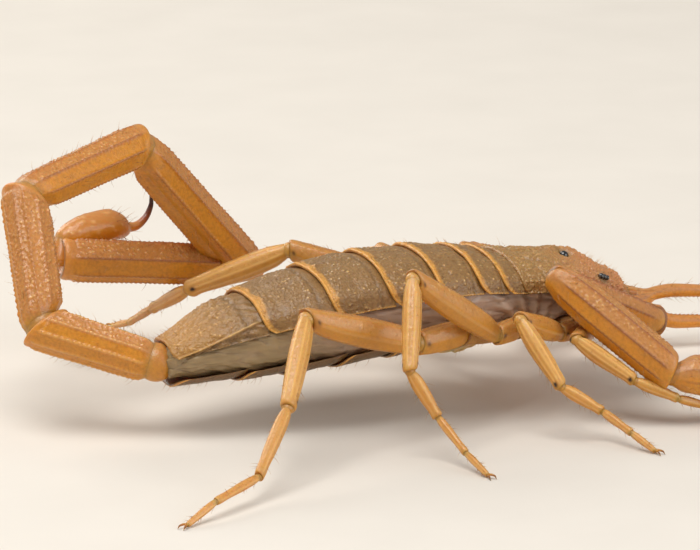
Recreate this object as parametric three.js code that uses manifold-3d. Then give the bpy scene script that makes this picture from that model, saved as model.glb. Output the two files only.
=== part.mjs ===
// A slender bark scorpion, life size, standing on its eight feet with the tail curled over its left side.
// Millimetres. +X is forward, +Y is the animal's left, +Z is up, and Z = 0 is the floor under the feet.
// Until the last lines, X = 0 is the hind margin of the carapace and Y = 0 is the body's middle plane.

import * as THREE from 'three';
import { mergeVertices } from 'three/addons/utils/BufferGeometryUtils.js';
import Module from 'manifold-3d';

const wasm = await Module();
wasm.setup();

// ---------------------------------------------------------------- driving dimensions

const JOINT_GAP = 0.06;          // clear space between two pieces that meet
const BODY_SIDES = 20;           // points round the trunk; the shell plates use the same angles
const SLIVER = 0.04;             // faces thinner than this are merged after a cut
const LEG_SIDES = 8;
const COXA_SIDES = 6;
const BREAST_SLIVER = 0.07;      // the same for the many-sided underside
const ARM_SIDES = 10;

// The trunk's sections: distance along X, half width, top and bottom height.
const TRUNK = [
  { x: -16.9, half: 1.35, top: 4.50, bottom: 2.75 },
  { x: -13.0, half: 2.60, top: 6.05, bottom: 2.80 },
  { x: -9.8, half: 3.15, top: 6.90, bottom: 2.95 },
  { x: -7.0, half: 3.30, top: 7.30, bottom: 3.15 },
  { x: -4.5, half: 3.25, top: 7.35, bottom: 3.35 },
  { x: -2.4, half: 3.05, top: 7.20, bottom: 3.60 },
  { x: -1.1, half: 2.90, top: 7.00, bottom: 3.65 },
  { x: 0.0, half: 2.85, top: 6.75, bottom: 3.70 },
  { x: 1.6, half: 2.75, top: 6.60, bottom: 3.70 },
  { x: 3.1, half: 2.40, top: 6.40, bottom: 3.75 },
  { x: 4.4, half: 1.95, top: 6.00, bottom: 3.85 },
  { x: 5.0, half: 1.70, top: 5.60, bottom: 3.95 },
];
const TRUNK_SQUARENESS = 2.35;   // 2 is an ellipse, more is boxier

// Hind margins of the carapace and of the seven back plates.
const BACK_MARGINS = [0.0, -1.1, -2.4, -4.5, -7.0, -9.8, -13.0, -16.9];
const BELLY_MARGINS = [-4.1, -6.6, -9.2, -11.6, -13.9, -16.9];
const BACK_PLATE = { front: 0.28, rear: 0.44 };
const BELLY_PLATE = { front: 0.16, rear: 0.30 };
const CARAPACE = { front: 5.75, thickness: 0.36, overhangHalf: 1.5, overhangTop: 5.3, overhangBottom: 4.1 };
const EYE_HILL = { x: 3.1, z: 6.52, length: 0.95, width: 0.72, height: 0.42 };
const MEDIAN_EYE = { x: 3.1, y: 0.47, z: 6.75, radius: 0.23 };
const LATERAL_EYES = { x: 4.5, y: 2.02, z: 5.93, radius: 0.16, spacing: 0.2 };
const CHELICERA = { x: 5.12, y: 0.58, z: 4.72, length: 1.9, halfWidth: 0.5, halfHeight: 0.5 };

// Tail rings, from the body out: length, half width, half height, heading and rise of the axis.
const TAIL_ROOT = [-17.37, 0, 3.55];
const TAIL = [
  { length: 5.48, half: 1.14, tall: 1.12, heading: 150, rise: 16 },
  { length: 6.62, half: 1.07, tall: 1.08, heading: 81.5, rise: 51 },
  { length: 7.69, half: 1.03, tall: 1.06, heading: 26, rise: 8.5 },
  { length: 9.25, half: 1.08, tall: 1.12, heading: 17, rise: -47.5 },
  { length: 9.10, half: 1.04, tall: 1.07, heading: 174, rise: 6 },
];
const TAIL_CURL = { heading: 121, rise: -22 };   // the axis the tail curls about, to the animal's left
const STING = {
  bulbLength: 3.95, bulbHalf: 0.78, bulbTall: 0.80, bulbArch: 0.36, heading: 12, rise: 0.5,
  lift: 1.06, neck: 0.50, spikeLength: 2.85, spikeHalf: 0.25, spikeCurl: 122, spikeSteps: 6,
};

// Legs 1 to 4 are alike on both sides in size. Hips are given for the right side.
const LEGS = [
  { hip: [3.85, -3.00, 4.03], root: [3.3, -0.7, 3.75], coxa: 0.50, lengths: [1.13, 2.3, 3.3, 2.2, 1.9, 1.4],
    tall: [0.40, 0.50, 0.42, 0.30] },
  { hip: [2.41, -3.30, 3.90], root: [2.5, -0.7, 3.70], coxa: 0.55, lengths: [1.31, 3.6, 3.7, 2.3, 2.0, 1.5],
    tall: [0.48, 0.58, 0.46, 0.31] },
  { hip: [-0.73, -3.50, 4.33], root: [1.6, -0.9, 3.65], coxa: 0.60, lengths: [1.55, 5.9, 4.5, 2.5, 2.4, 1.8],
    tall: [0.55, 0.68, 0.54, 0.34] },
  { hip: [-3.62, -3.70, 4.44], root: [0.6, -1.0, 3.60], coxa: 0.65, lengths: [2.5, 6.3, 5.3, 4.1, 3.2, 2.0],
    tall: [0.66, 0.76, 0.60, 0.38] },
];
const LEG_FLATNESS = 0.78;       // a leg's width over its height
const TARSUS_HALF = 0.27;        // the last two joints of every foot
const ANKLE_HEIGHT = 0.75;
const TOE_HEIGHT = 0.13;         // middle of the tip above the floor
const SOLE_LEVEL = 0.10;         // what would be lower than this lies flat on the floor

// Headings and rises of trochanter, femur, patella and tibia, then headings of the two tarsi.
const LEG_POSES = {
  right: [
    { headings: [-135, -133, -36, -22, 0, 12], rises: [0, 0, -33, -23] },
    { headings: [-148, -148, -65, -14, -70, -62], rises: [4, 22, -47, -33] },
    { headings: [-149, -167, -116, -28, -75, -78], rises: [0, 35, -53, -59] },
    { headings: [-165, -172, -123, -134, -148, -152], rises: [-2, 18, -34, -33] },
  ],
  left: [
    { headings: [108, 100, 62, 50, 42, 36], rises: [-22, -34, -4, -16] },
    { headings: [122, 122, 92, 82, 76, 72], rises: [-14, -6, -26, -24] },
    { headings: [92, 98, 110, 112, 116, 120], rises: [-4, 5, -30, -34] },
    { headings: [50, 152, 156, 98, 93, 97], rises: [-8, 17, -22, -26] },
  ],
};

// Pincer arms: trochanter, femur, patella, hand and fingers.
const ARM_HIP = [5.75, 1.80, 3.95];
const ARM_ROOT = [4.3, 0.8, 4.15];
const ARM = { lengths: [1.35, 6.4, 6.8, 4.2, 6.5], coxa: 0.62 };
const ARM_HALF = {
  trochanter: { wide: 0.66, tall: 0.80 },
  femur: { wide: 0.72, tall: 0.82 },
  patella: { wide: 0.84, tall: 1.02 },
  hand: { wide: 0.98, tall: 1.02 },
  finger: { wide: 0.34, tall: 0.36 },
};
const FINGER_GAPE = 0.52;        // how far each finger bows away from the line between them
const ARM_POSES = {
  right: { headings: [-45, -165, -37.5, -8, 4], rises: [-6, 26, -37, -7, -3] },
  left: { headings: [60, 158, 18, -25, -8], rises: [20, 11, -25, -8, -4] },
};

const COMB = { root: [-0.9, 0.5, 3.22], tip: [-3.4, 2.3, 3.22], half: 0.22, teeth: 8, toothLength: 0.75 };

// ---------------------------------------------------------------- finishes

const finish = (color, roughness) => new THREE.MeshStandardMaterial({ color, roughness, metalness: 0 });
const AMBER = finish(0xc98a35, 0.42);
const PALE_AMBER = finish(0xd9a858, 0.40);
const TAIL_AMBER = finish(0xbd8236, 0.45);
const BACK_OLIVE = finish(0x8d7446, 0.50);
const BELLY_OLIVE = finish(0x7d6a45, 0.45);
const MEMBRANE = finish(0x8f8276, 0.55);
const EYE_BLACK = finish(0x0b0a0a, 0.12);

// ---------------------------------------------------------------- geometry helpers

const radians = THREE.MathUtils.degToRad;
const vector = (p) => new THREE.Vector3(p[0], p[1], p[2]);

/** Unit vector at a heading, counted from +X towards +Y, and a rise above the floor. */
function aim(heading, rise) {
  const flat = Math.cos(radians(rise));
  return new THREE.Vector3(
    flat * Math.cos(radians(heading)), flat * Math.sin(radians(heading)), Math.sin(radians(rise)));
}

/** Side and top directions for a length that runs along a direction. */
function frameFor(along, topHint) {
  const side = topHint.clone().cross(along).normalize();
  return { side, top: along.clone().cross(side).normalize() };
}

/** One closed body through a row of rings, with the same number of points in each. */
function loft(rings) {
  const sides = rings[0].length;
  const positions = rings.flat().flatMap((p) => [p.x, p.y, p.z]);
  const index = [];
  for (let row = 0; row + 1 < rings.length; row += 1) {
    for (let i = 0; i < sides; i += 1) {
      const j = (i + 1) % sides;
      const [a, b, c, d] = [row * sides + i, row * sides + j, (row + 1) * sides + j, (row + 1) * sides + i];
      index.push(a, b, c, a, c, d);
    }
  }
  for (const [row, flip] of [[0, true], [rings.length - 1, false]]) {
    const middle = rings[row].reduce((sum, p) => sum.add(p), new THREE.Vector3()).divideScalar(sides);
    const centre = positions.length / 3;
    positions.push(middle.x, middle.y, middle.z);
    for (let i = 0; i < sides; i += 1) {
      const [a, b] = [row * sides + i, row * sides + (i + 1) % sides];
      index.push(...(flip ? [centre, b, a] : [centre, a, b]));
    }
  }
  const geometry = new THREE.BufferGeometry();
  geometry.setAttribute('position', new THREE.Float32BufferAttribute(positions, 3));
  geometry.setIndex(index);
  return geometry;
}

/** A ring of points round a centre. The shape gives a radius factor for each angle from the side. */
function ringAt(centre, axes, wide, tall, sides, shape = () => 1) {
  return Array.from({ length: sides }, (_, i) => {
    const angle = (2 * Math.PI * (i + 0.5)) / sides;
    const radius = shape(angle);
    return centre.clone()
      .addScaledVector(axes.side, Math.cos(angle) * wide * radius)
      .addScaledVector(axes.top, Math.sin(angle) * tall * radius);
  });
}

/**
 * A limb along straight parts. Each row is [part, place along it from 0 to 1, half width, half height,
 * shift to the side, shift to the top].
 */
function limb({ path, tops, rows, sides, shape, grow = 0 }) {
  const rings = rows.map(([part, place, wide, tall, aside = 0, above = 0], number) => {
    const along = path[part + 1].clone().sub(path[part]);
    const length = along.length();
    along.normalize();
    const axes = frameFor(along, tops[part] ?? tops[0]);
    const stretch = number === 0 ? -grow : number === rows.length - 1 ? grow : 0;
    const centre = path[part].clone().addScaledVector(along, place * length + stretch)
      .addScaledVector(axes.side, aside).addScaledVector(axes.top, above);
    return ringAt(centre, axes, wide + grow, tall + grow, sides, shape);
  });
  return loft(rings);
}

function toSolid(geometry) {
  const bare = geometry.clone();
  for (const name of Object.keys(bare.attributes)) {
    if (name !== 'position') bare.deleteAttribute(name);
  }
  const merged = mergeVertices(bare, 1e-5);
  return new wasm.Manifold(new wasm.Mesh({
    numProp: 3,
    vertProperties: Float32Array.from(merged.attributes.position.array),
    triVerts: Uint32Array.from(merged.index.array),
  }));
}

function toGeometry(solid, sliver = SLIVER) {
  const mesh = solid.simplify(sliver).getMesh();
  const geometry = new THREE.BufferGeometry();
  geometry.setAttribute('position', new THREE.Float32BufferAttribute(mesh.vertProperties, 3));
  geometry.setIndex(new THREE.Uint32BufferAttribute(mesh.triVerts, 1));
  return geometry;
}

const join = (first, ...rest) => toGeometry(rest.reduce((sum, g) => sum.add(toSolid(g)), toSolid(first)));

/** What the others leave of the first body; a loose chip on the far side of a cut is dropped. */
function cut(first, ...rest) {
  const left = rest.reduce((body, g) => body.subtract(toSolid(g)), toSolid(first));
  return toGeometry(left.decompose().reduce((big, piece) => (piece.volume() > big.volume() ? piece : big)));
}

const model = new THREE.Group();

function addNode(name, geometry, material) {
  const shaded = geometry.toNonIndexed();
  shaded.computeVertexNormals();
  const mesh = new THREE.Mesh(shaded, material);
  mesh.name = name;
  model.add(mesh);
}

// ---------------------------------------------------------------- trunk and its shell plates

/** Half width, top and bottom of the trunk at X, straight between the listed sections. */
function trunkSection(x) {
  const stations = [...TRUNK, {
    x: CARAPACE.front, half: CARAPACE.overhangHalf,
    top: CARAPACE.overhangTop, bottom: CARAPACE.overhangBottom,
  }];
  const next = Math.min(Math.max(stations.findIndex((s) => s.x >= x), 1), stations.length - 1);
  const [a, b] = [stations[next - 1], stations[next]];
  const t = (x - a.x) / (b.x - a.x);
  return {
    half: a.half + (b.half - a.half) * t,
    top: a.top + (b.top - a.top) * t,
    bottom: a.bottom + (b.bottom - a.bottom) * t,
  };
}

/** A point on the trunk at X, at an angle from its left side, moved out by an offset. */
function trunkPoint(x, angle, offset) {
  const { half, top, bottom } = trunkSection(x);
  const power = 2 / TRUNK_SQUARENESS;
  const shape = (value) => Math.sign(value) * Math.abs(value) ** power;
  return new THREE.Vector3(
    x,
    (half + offset) * shape(Math.cos(angle)),
    (top + bottom) / 2 + ((top - bottom) / 2 + offset) * shape(Math.sin(angle)));
}

const bodyAngle = (step) => (2 * Math.PI * step) / BODY_SIDES;

function trunkLoft(grow) {
  const rings = TRUNK.map(({ x }, number) => {
    const reach = number === 0 ? -grow : number === TRUNK.length - 1 ? grow : 0;
    return Array.from({ length: BODY_SIDES }, (_, step) => {
      const p = trunkPoint(x, bodyAngle(step), grow);
      p.x += reach;
      return p;
    });
  });
  return loft(rings);
}

/** A shell plate between two angles of the trunk. Each row is [X, thickness]. */
function shellPlate(rows, firstStep, lastStep) {
  const rings = rows.map(([x, thickness]) => {
    const outer = [];
    const inner = [];
    for (let step = firstStep; step <= lastStep; step += 1) {
      outer.push(trunkPoint(x, bodyAngle(step), JOINT_GAP + thickness));
      inner.unshift(trunkPoint(x, bodyAngle(step), JOINT_GAP));
    }
    return [...outer, ...inner];
  });
  const open = loft(rings);
  const sides = rings[0].length;
  const wall = (rings.length - 1) * sides * 6;
  const index = Array.from(open.index.array).slice(0, wall);
  const half = sides / 2;
  for (const [row, flip] of [[0, true], [rings.length - 1, false]]) {
    for (let i = 0; i + 1 < half; i += 1) {
      const [a, b, c, d] = [i, i + 1, sides - 2 - i, sides - 1 - i].map((k) => row * sides + k);
      index.push(...(flip ? [a, c, b, a, d, c] : [a, b, c, a, c, d]));
    }
  }
  const positions = Array.from(open.attributes.position.array).slice(0, rings.length * sides * 3);
  const plate = new THREE.BufferGeometry();
  plate.setAttribute('position', new THREE.Float32BufferAttribute(positions, 3));
  plate.setIndex(index);
  return plate;
}

const BACK_ARC = [1, BODY_SIDES / 2 - 1];
const BELLY_ARC = [BODY_SIDES / 2 + 2, BODY_SIDES - 2];

function ball(x, y, z, radius, across = 8, down = 6) {
  const sphere = new THREE.SphereGeometry(radius, across, down);
  sphere.translate(x, y, z);
  return sphere;
}

function eyeHill() {
  const hill = new THREE.SphereGeometry(1, 10, 6);
  hill.scale(EYE_HILL.length, EYE_HILL.width, EYE_HILL.height);
  hill.translate(EYE_HILL.x, 0, EYE_HILL.z);
  return hill;
}

/** Three small eyes in a row at the front corner of the carapace. */
function lateralEyes(side, grow) {
  const { x, y, z, radius, spacing } = LATERAL_EYES;
  const balls = [-1, 0, 1].map((n) => ball(
    x + n * spacing, side * (y - 0.35 * n * spacing), z - 0.4 * n * spacing, radius + grow, 6, 4));
  return join(...balls);
}

addNode('trunk', trunkLoft(0), MEMBRANE);
{
  const rows = [[BACK_MARGINS[0] + JOINT_GAP / 2, CARAPACE.thickness + 0.04], [1.6, CARAPACE.thickness],
    [3.1, CARAPACE.thickness], [4.4, CARAPACE.thickness], [5.0, CARAPACE.thickness],
    [CARAPACE.front, CARAPACE.thickness - 0.08]];
  const shell = join(shellPlate(rows, ...BACK_ARC), cut(eyeHill(), trunkLoft(JOINT_GAP)));
  const sockets = [1, -1].flatMap((side) => [
    ball(MEDIAN_EYE.x, side * MEDIAN_EYE.y, MEDIAN_EYE.z, MEDIAN_EYE.radius + JOINT_GAP / 2),
    lateralEyes(side, JOINT_GAP / 2)]);
  addNode('carapace', cut(shell, ...sockets), AMBER);
}
for (const [name, side] of [['left', 1], ['right', -1]]) {
  const { x, y, z, radius } = MEDIAN_EYE;
  addNode(`median_eye_${name}`, ball(x, side * y, z, radius), EYE_BLACK);
  addNode(`lateral_eyes_${name}`, lateralEyes(side, 0), EYE_BLACK);
}
for (let plate = 1; plate < BACK_MARGINS.length; plate += 1) {
  const front = BACK_MARGINS[plate - 1] - JOINT_GAP / 2;
  const rear = BACK_MARGINS[plate] + JOINT_GAP / 2;
  const rows = [[rear, BACK_PLATE.rear], [rear + 0.3, BACK_PLATE.rear - 0.04], [front, BACK_PLATE.front]];
  addNode(`tergite_${plate}`, shellPlate(rows, ...BACK_ARC), BACK_OLIVE);
}
{
  const rows = [];
  for (let plate = BELLY_MARGINS.length - 1; plate > 0; plate -= 1) {
    rows.push([BELLY_MARGINS[plate] + 0.02, BELLY_PLATE.rear]);
    rows.push([BELLY_MARGINS[plate - 1] - 0.02, BELLY_PLATE.front]);
  }
  addNode('sternites', shellPlate(rows, ...BELLY_ARC), BELLY_OLIVE);
}

// ---------------------------------------------------------------- limbs

/** Points of a limb: each part starts where the last one ends. */
function chain(start, headings, rises, lengths) {
  const points = [start.clone()];
  headings.forEach((heading, i) => {
    points.push(points[i].clone().addScaledVector(aim(heading, rises[i]), lengths[i]));
  });
  return points;
}

const UP = new THREE.Vector3(0, 0, 1);
const mirrored = ([x, y, z], side) => vector([x, side * Math.abs(y), z]);

/** A coxa, the fixed root of a limb, from near the middle of the underside out to the hip. */
function coxa(root, hip, half, grow = 0) {
  return limb({
    path: [root, hip], tops: [UP], sides: COXA_SIDES, grow,
    rows: [[0, 0, half * 0.8, half * 0.6], [0, 0.75, half, half], [0, 1, half * 0.8, half * 0.85]],
  });
}

const coxae = [];

function addLeg(sideName, side, number) {
  const size = LEGS[number - 1];
  const pose = LEG_POSES[sideName][number - 1];
  const hip = mirrored(size.hip, side);
  const root = mirrored(size.root, side);
  coxae.push(coxa(root, hip, size.coxa));
  const upper = chain(hip, pose.headings.slice(0, 4), pose.rises, size.lengths);
  const tibiaEnd = upper[4];
  const heelFall = THREE.MathUtils.radToDeg(Math.asin((ANKLE_HEIGHT - tibiaEnd.z) / size.lengths[4]));
  const toeFall = THREE.MathUtils.radToDeg(Math.asin((TOE_HEIGHT - ANKLE_HEIGHT) / size.lengths[5]));
  const toes = chain(tibiaEnd, pose.headings.slice(4), [heelFall, toeFall], size.lengths.slice(4));
  const [trochanter, femur, patella, tibia] = size.tall;
  const flat = LEG_FLATNESS;
  const node = (piece) => `${sideName}_leg_${number}_${piece}`;

  const femurRows = [
    [0, 0, trochanter * 0.65, trochanter * 0.7], [0, 0.45, trochanter * 0.95, trochanter],
    [0, 0.75, trochanter * 0.8, trochanter * 0.85], [1, 0.14, femur * flat * 0.85, femur * 0.85],
    [1, 0.5, femur * flat, femur], [1, 0.92, femur * flat * 0.95, femur * 0.92],
    [1, 1, femur * flat * 0.6, femur * 0.6]];
  const femurShape = { path: upper.slice(0, 3), tops: [UP], rows: femurRows, sides: LEG_SIDES };
  const patellaRows = [
    [0, 0.02, patella * flat * 0.6, patella * 0.6], [0, 0.14, patella * flat * 0.9, patella * 0.9],
    [0, 0.5, patella * flat, patella], [0, 0.93, patella * flat * 0.9, patella * 0.88],
    [0, 1, patella * flat * 0.6, patella * 0.6]];
  const patellaShape = { path: upper.slice(2, 4), tops: [UP], rows: patellaRows, sides: LEG_SIDES };
  const footRows = [
    [0, 0.02, tibia * flat * 0.7, tibia * 0.75], [0, 0.2, tibia * flat, tibia],
    [0, 0.8, tibia * flat * 0.95, tibia * 0.92], [1, 0.2, TARSUS_HALF, TARSUS_HALF],
    [1, 0.85, TARSUS_HALF, TARSUS_HALF], [2, 0.15, TARSUS_HALF, TARSUS_HALF],
    [2, 0.78, TARSUS_HALF, TARSUS_HALF], [2, 1, TARSUS_HALF * 0.75, TARSUS_HALF * 0.75]];
  const footPath = [upper[3], upper[4], toes[1], toes[2]];
  const foot = limb({ path: footPath, tops: [UP], rows: footRows, sides: LEG_SIDES });
  flattenSole(foot);

  addNode(node('femur'), cut(limb(femurShape), coxa(root, hip, size.coxa, JOINT_GAP)), AMBER);
  addNode(node('patella'), cut(limb(patellaShape), limb({ ...femurShape, grow: JOINT_GAP })), PALE_AMBER);
  addNode(node('foot'), cut(foot, limb({ ...patellaShape, grow: JOINT_GAP })), PALE_AMBER);
}

/** The underside of the tip is laid flat on the floor, which gives each foot its small sole. */
function flattenSole(geometry) {
  const place = geometry.attributes.position;
  for (let i = 0; i < place.count; i += 1) {
    if (place.getZ(i) < SOLE_LEVEL) place.setZ(i, 0);
  }
}

for (const [sideName, side] of [['left', 1], ['right', -1]]) {
  for (let number = 1; number <= LEGS.length; number += 1) {
    addLeg(sideName, side, number);
  }
}

// ---------------------------------------------------------------- pincer arms

function addArm(sideName, side) {
  const pose = ARM_POSES[sideName];
  const hip = mirrored(ARM_HIP, side);
  const root = mirrored(ARM_ROOT, side);
  coxae.push(coxa(root, hip, ARM.coxa));
  const points = chain(hip, pose.headings, pose.rises, ARM.lengths);
  const node = (piece) => `pedipalp_${sideName}_${piece}`;
  const segment = (part, half, ends) => ({
    path: points.slice(part, part + 2), tops: [UP], sides: ARM_SIDES,
    rows: ends.map(([place, factor]) => [0, place, half.wide * factor, half.tall * factor]),
  });
  const trochanter = segment(0, ARM_HALF.trochanter, [[0, 0.6], [0.35, 0.95], [0.8, 1], [1.25, 0.6]]);
  const femur = segment(1, ARM_HALF.femur, [[0.03, 0.65], [0.14, 0.9], [0.5, 1], [0.93, 1], [1.02, 0.6]]);
  const patella = segment(2, ARM_HALF.patella, [
    [0.02, 0.5], [0.12, 0.85], [0.45, 1], [0.92, 0.95], [1, 0.55]]);
  const { hand, finger } = ARM_HALF;
  const [wrist, knuckle, tip] = points.slice(3);
  const gape = (t) => 0.2 + FINGER_GAPE * Math.sin(Math.PI * Math.min(1, t + 0.12));
  const fingerRows = (way) => [0.12, 0.4, 0.7, 0.92, 1].map((t) => {
    const slim = 1 - 0.55 * t ** 2;
    return [1, t, finger.wide * slim, finger.tall * slim, way * side * gape(t) * 0.5, way * gape(t)];
  });
  const chela = {
    path: [wrist, knuckle, tip], tops: [UP], sides: ARM_SIDES,
    rows: [
      [0, 0.03, hand.wide * 0.5, hand.tall * 0.5], [0, 0.16, hand.wide * 0.85, hand.tall * 0.85],
      [0, 0.5, hand.wide, hand.tall], [0, 0.85, hand.wide * 0.82, hand.tall * 0.86],
      ...fingerRows(1)],
  };
  const moving = {
    path: [wrist, knuckle, tip], tops: [UP], sides: LEG_SIDES,
    rows: [[0, 0.9, finger.wide, finger.tall, -side * 0.2, -0.42], ...fingerRows(-1)],
  };
  addNode(node('trochanter'), cut(limb(trochanter), coxa(root, hip, ARM.coxa, JOINT_GAP)), AMBER);
  addNode(node('femur'), cut(limb(femur), limb({ ...trochanter, grow: JOINT_GAP })), AMBER);
  addNode(node('patella'), cut(limb(patella), limb({ ...femur, grow: JOINT_GAP })), AMBER);
  addNode(node('hand'), cut(limb(chela), limb({ ...patella, grow: JOINT_GAP })), AMBER);
  addNode(node('moving_finger'), cut(limb(moving), limb({ ...chela, grow: JOINT_GAP })), AMBER);
}

addArm('left', 1);
addArm('right', -1);

// ---------------------------------------------------------------- underside

{
  const rows = [[-0.6, 0.35], [0, 0.45], [1.6, 0.55], [3.1, 0.5], [4.4, 0.45], [4.95, 0.3]];
  const plate = shellPlate(rows, ...BELLY_ARC);
  const underside = cut(join(plate, ...coxae), trunkLoft(JOINT_GAP * 2));
  addNode('coxosternum', toGeometry(toSolid(underside), BREAST_SLIVER), AMBER);
}

/** A comb organ: a slim shaft with a row of teeth along its hind edge. */
function comb(side) {
  const root = mirrored(COMB.root, side);
  const tip = mirrored(COMB.tip, side);
  const shaft = limb({
    path: [root, tip], tops: [UP], sides: LEG_SIDES,
    rows: [
      [0, 0, COMB.half, COMB.half], [0, 0.3, COMB.half * 1.3, COMB.half],
      [0, 1, COMB.half * 0.7, COMB.half * 0.8]],
  });
  const teeth = Array.from({ length: COMB.teeth }, (_, i) => {
    const tooth = new THREE.BoxGeometry(COMB.toothLength, 0.2, 0.3);
    const at = root.clone().lerp(tip, (i + 0.7) / COMB.teeth);
    tooth.rotateZ(side * radians(-12));
    tooth.translate(at.x - COMB.toothLength / 2, at.y - side * 0.12, at.z);
    return tooth;
  });
  return join(shaft, ...teeth);
}

for (const [name, side] of [['left', 1], ['right', -1]]) {
  addNode(`pectine_${name}`, comb(side), PALE_AMBER);
  const { x, y, z, length, halfWidth, halfHeight } = CHELICERA;
  const jaw = limb({
    path: [vector([x, side * y, z]), vector([x + length, side * y * 0.8, z - 0.25])],
    tops: [UP], sides: LEG_SIDES,
    rows: [
      [0, 0, halfWidth * 0.8, halfHeight * 0.8], [0, 0.2, halfWidth, halfHeight],
      [0, 0.6, halfWidth * 0.95, halfHeight * 0.95], [0, 1, halfWidth * 0.3, halfHeight * 0.35]],
  });
  addNode(`chelicera_${name}`, jaw, AMBER);
}

// ---------------------------------------------------------------- tail

const FIRST_RING_BACK = new THREE.Vector3(0.2, 0.25, 1);

/** The way the back of a tail ring faces: into the curl, which leans to the animal's left. */
function backOf(start, end) {
  return aim(TAIL_CURL.heading, TAIL_CURL.rise).cross(end.clone().sub(start)).normalize();
}

/** Ten keels: two on the back, three down each side and two underneath, with a groove along the back. */
function tailSection(angle) {
  const fromBack = Math.abs(Math.atan2(Math.cos(angle), Math.sin(angle)));
  const groove = 0.14 * Math.exp(-((fromBack / 0.32) ** 2));
  const corners = 0.06 * Math.cos(4 * (fromBack - Math.PI / 4));
  return 1.0 + corners - groove;
}

const tailPoints = chain(vector(TAIL_ROOT), TAIL.map((r) => r.heading), TAIL.map((r) => r.rise),
  TAIL.map((r) => r.length));
const tailShapes = TAIL.map(({ half, tall }, i) => {
  const back = i === 0 ? FIRST_RING_BACK : backOf(tailPoints[i], tailPoints[i + 1]);
  return {
    path: tailPoints.slice(i, i + 2), tops: [back], sides: 12, shape: tailSection,
    rows: [
      [0, 0.01, half * 0.62, tall * 0.62], [0, 0.09, half * 0.9, tall * 0.9], [0, 0.4, half, tall],
      [0, 0.75, half * 1.02, tall * 1.02], [0, 0.93, half, tall * 0.98], [0, 1, half * 0.72, tall * 0.72]],
  };
});
tailShapes.forEach((shape, i) => {
  const solid = limb(shape);
  const before = i === 0 ? trunkLoft(JOINT_GAP) : limb({ ...tailShapes[i - 1], grow: JOINT_GAP });
  addNode(`metasoma_${i + 1}`, cut(solid, before), TAIL_AMBER);
});
{
  const last = tailShapes[TAIL.length - 1];
  const end = last.path[1];
  const start = end.clone().addScaledVector(last.tops[0], STING.lift);
  const along = aim(STING.heading, STING.rise);
  const bulbEnd = start.clone().addScaledVector(along, STING.bulbLength);
  const { side, top } = frameFor(along, UP);
  const { bulbHalf, bulbTall, bulbArch, spikeHalf, spikeSteps, spikeLength, spikeCurl } = STING;
  const bulb = limb({
    path: [start, bulbEnd], tops: [UP], sides: 12,
    rows: [
      [0, 0, 0.42, 0.42], [0, 0.12, 0.62, 0.6, 0, bulbArch * 0.45],
      [0, 0.3, bulbHalf * 0.94, bulbTall * 0.94, 0, bulbArch * 0.85],
      [0, 0.55, bulbHalf, bulbTall, 0, bulbArch],
      [0, 0.8, bulbHalf * 0.72, bulbTall * 0.75, 0, bulbArch * 0.6],
      [0, 1, spikeHalf, spikeHalf]],
  });
  const spikeRings = [];
  const centre = bulbEnd.clone().addScaledVector(along, -0.3);
  for (let i = 0; i <= spikeSteps; i += 1) {
    const turn = radians((spikeCurl * i) / spikeSteps);
    const forward = along.clone().multiplyScalar(Math.cos(turn)).addScaledVector(top, Math.sin(turn));
    const radius = spikeHalf * (1 - (0.8 * i) / spikeSteps);
    spikeRings.push(ringAt(centre, { side, top: forward.clone().cross(side) }, radius, radius, LEG_SIDES));
    centre.addScaledVector(forward, spikeLength / spikeSteps);
  }
  const neckAt = end.clone().lerp(start, 0.55);
  const neck = ball(neckAt.x, neckAt.y, neckAt.z, STING.neck);
  addNode('telson', cut(join(bulb, neck, loft(spikeRings)), limb({ ...last, grow: JOINT_GAP })), AMBER);
}

// The origin moves to the middle of the footprint, on the floor.
const box = new THREE.Box3().setFromObject(model);
const group = new THREE.Group();
group.position.set(-(box.min.x + box.max.x) / 2, -(box.min.y + box.max.y) / 2, 0);
group.add(model);

export default group;
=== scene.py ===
"""A slender bark scorpion, life size, standing still with its tail curled over its left side.

Lengths are written in millimetres in the body's own axes: X = 0 is the hind margin of the carapace,
Y = 0 the middle plane, Z = 0 the floor, +X forward and +Y to the animal's left. Meshes are in metres
in the frame of the packed model.
"""

import math
from types import SimpleNamespace

import bpy
import numpy as np
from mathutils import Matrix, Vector


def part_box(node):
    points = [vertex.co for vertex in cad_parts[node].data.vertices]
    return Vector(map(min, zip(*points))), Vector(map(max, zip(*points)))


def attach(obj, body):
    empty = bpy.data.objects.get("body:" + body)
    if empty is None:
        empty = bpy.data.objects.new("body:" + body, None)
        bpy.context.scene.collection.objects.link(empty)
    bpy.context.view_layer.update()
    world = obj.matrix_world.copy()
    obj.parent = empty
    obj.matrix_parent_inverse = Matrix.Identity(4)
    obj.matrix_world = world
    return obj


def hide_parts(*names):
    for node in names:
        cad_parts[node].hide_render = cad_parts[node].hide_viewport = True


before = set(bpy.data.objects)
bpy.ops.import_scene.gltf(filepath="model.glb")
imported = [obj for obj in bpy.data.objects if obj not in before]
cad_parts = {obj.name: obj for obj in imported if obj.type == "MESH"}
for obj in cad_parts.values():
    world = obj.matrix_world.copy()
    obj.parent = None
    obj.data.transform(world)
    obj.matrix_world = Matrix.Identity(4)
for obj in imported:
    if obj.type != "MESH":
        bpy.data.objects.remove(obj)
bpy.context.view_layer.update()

bl_info = {
    "name": "Bark scorpion",
    "version": (1, 0, 0),
    "blender": (4, 5, 0),
    "location": "3D View > Sidebar > Scorpion",
    "description": "Builds a life-size bark scorpion: plates, legs, pincer arms, tail, sting and bristles",
    "category": "Add Mesh",
}

# ---------------------------------------------------------------- body sizes, in millimetres

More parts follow.
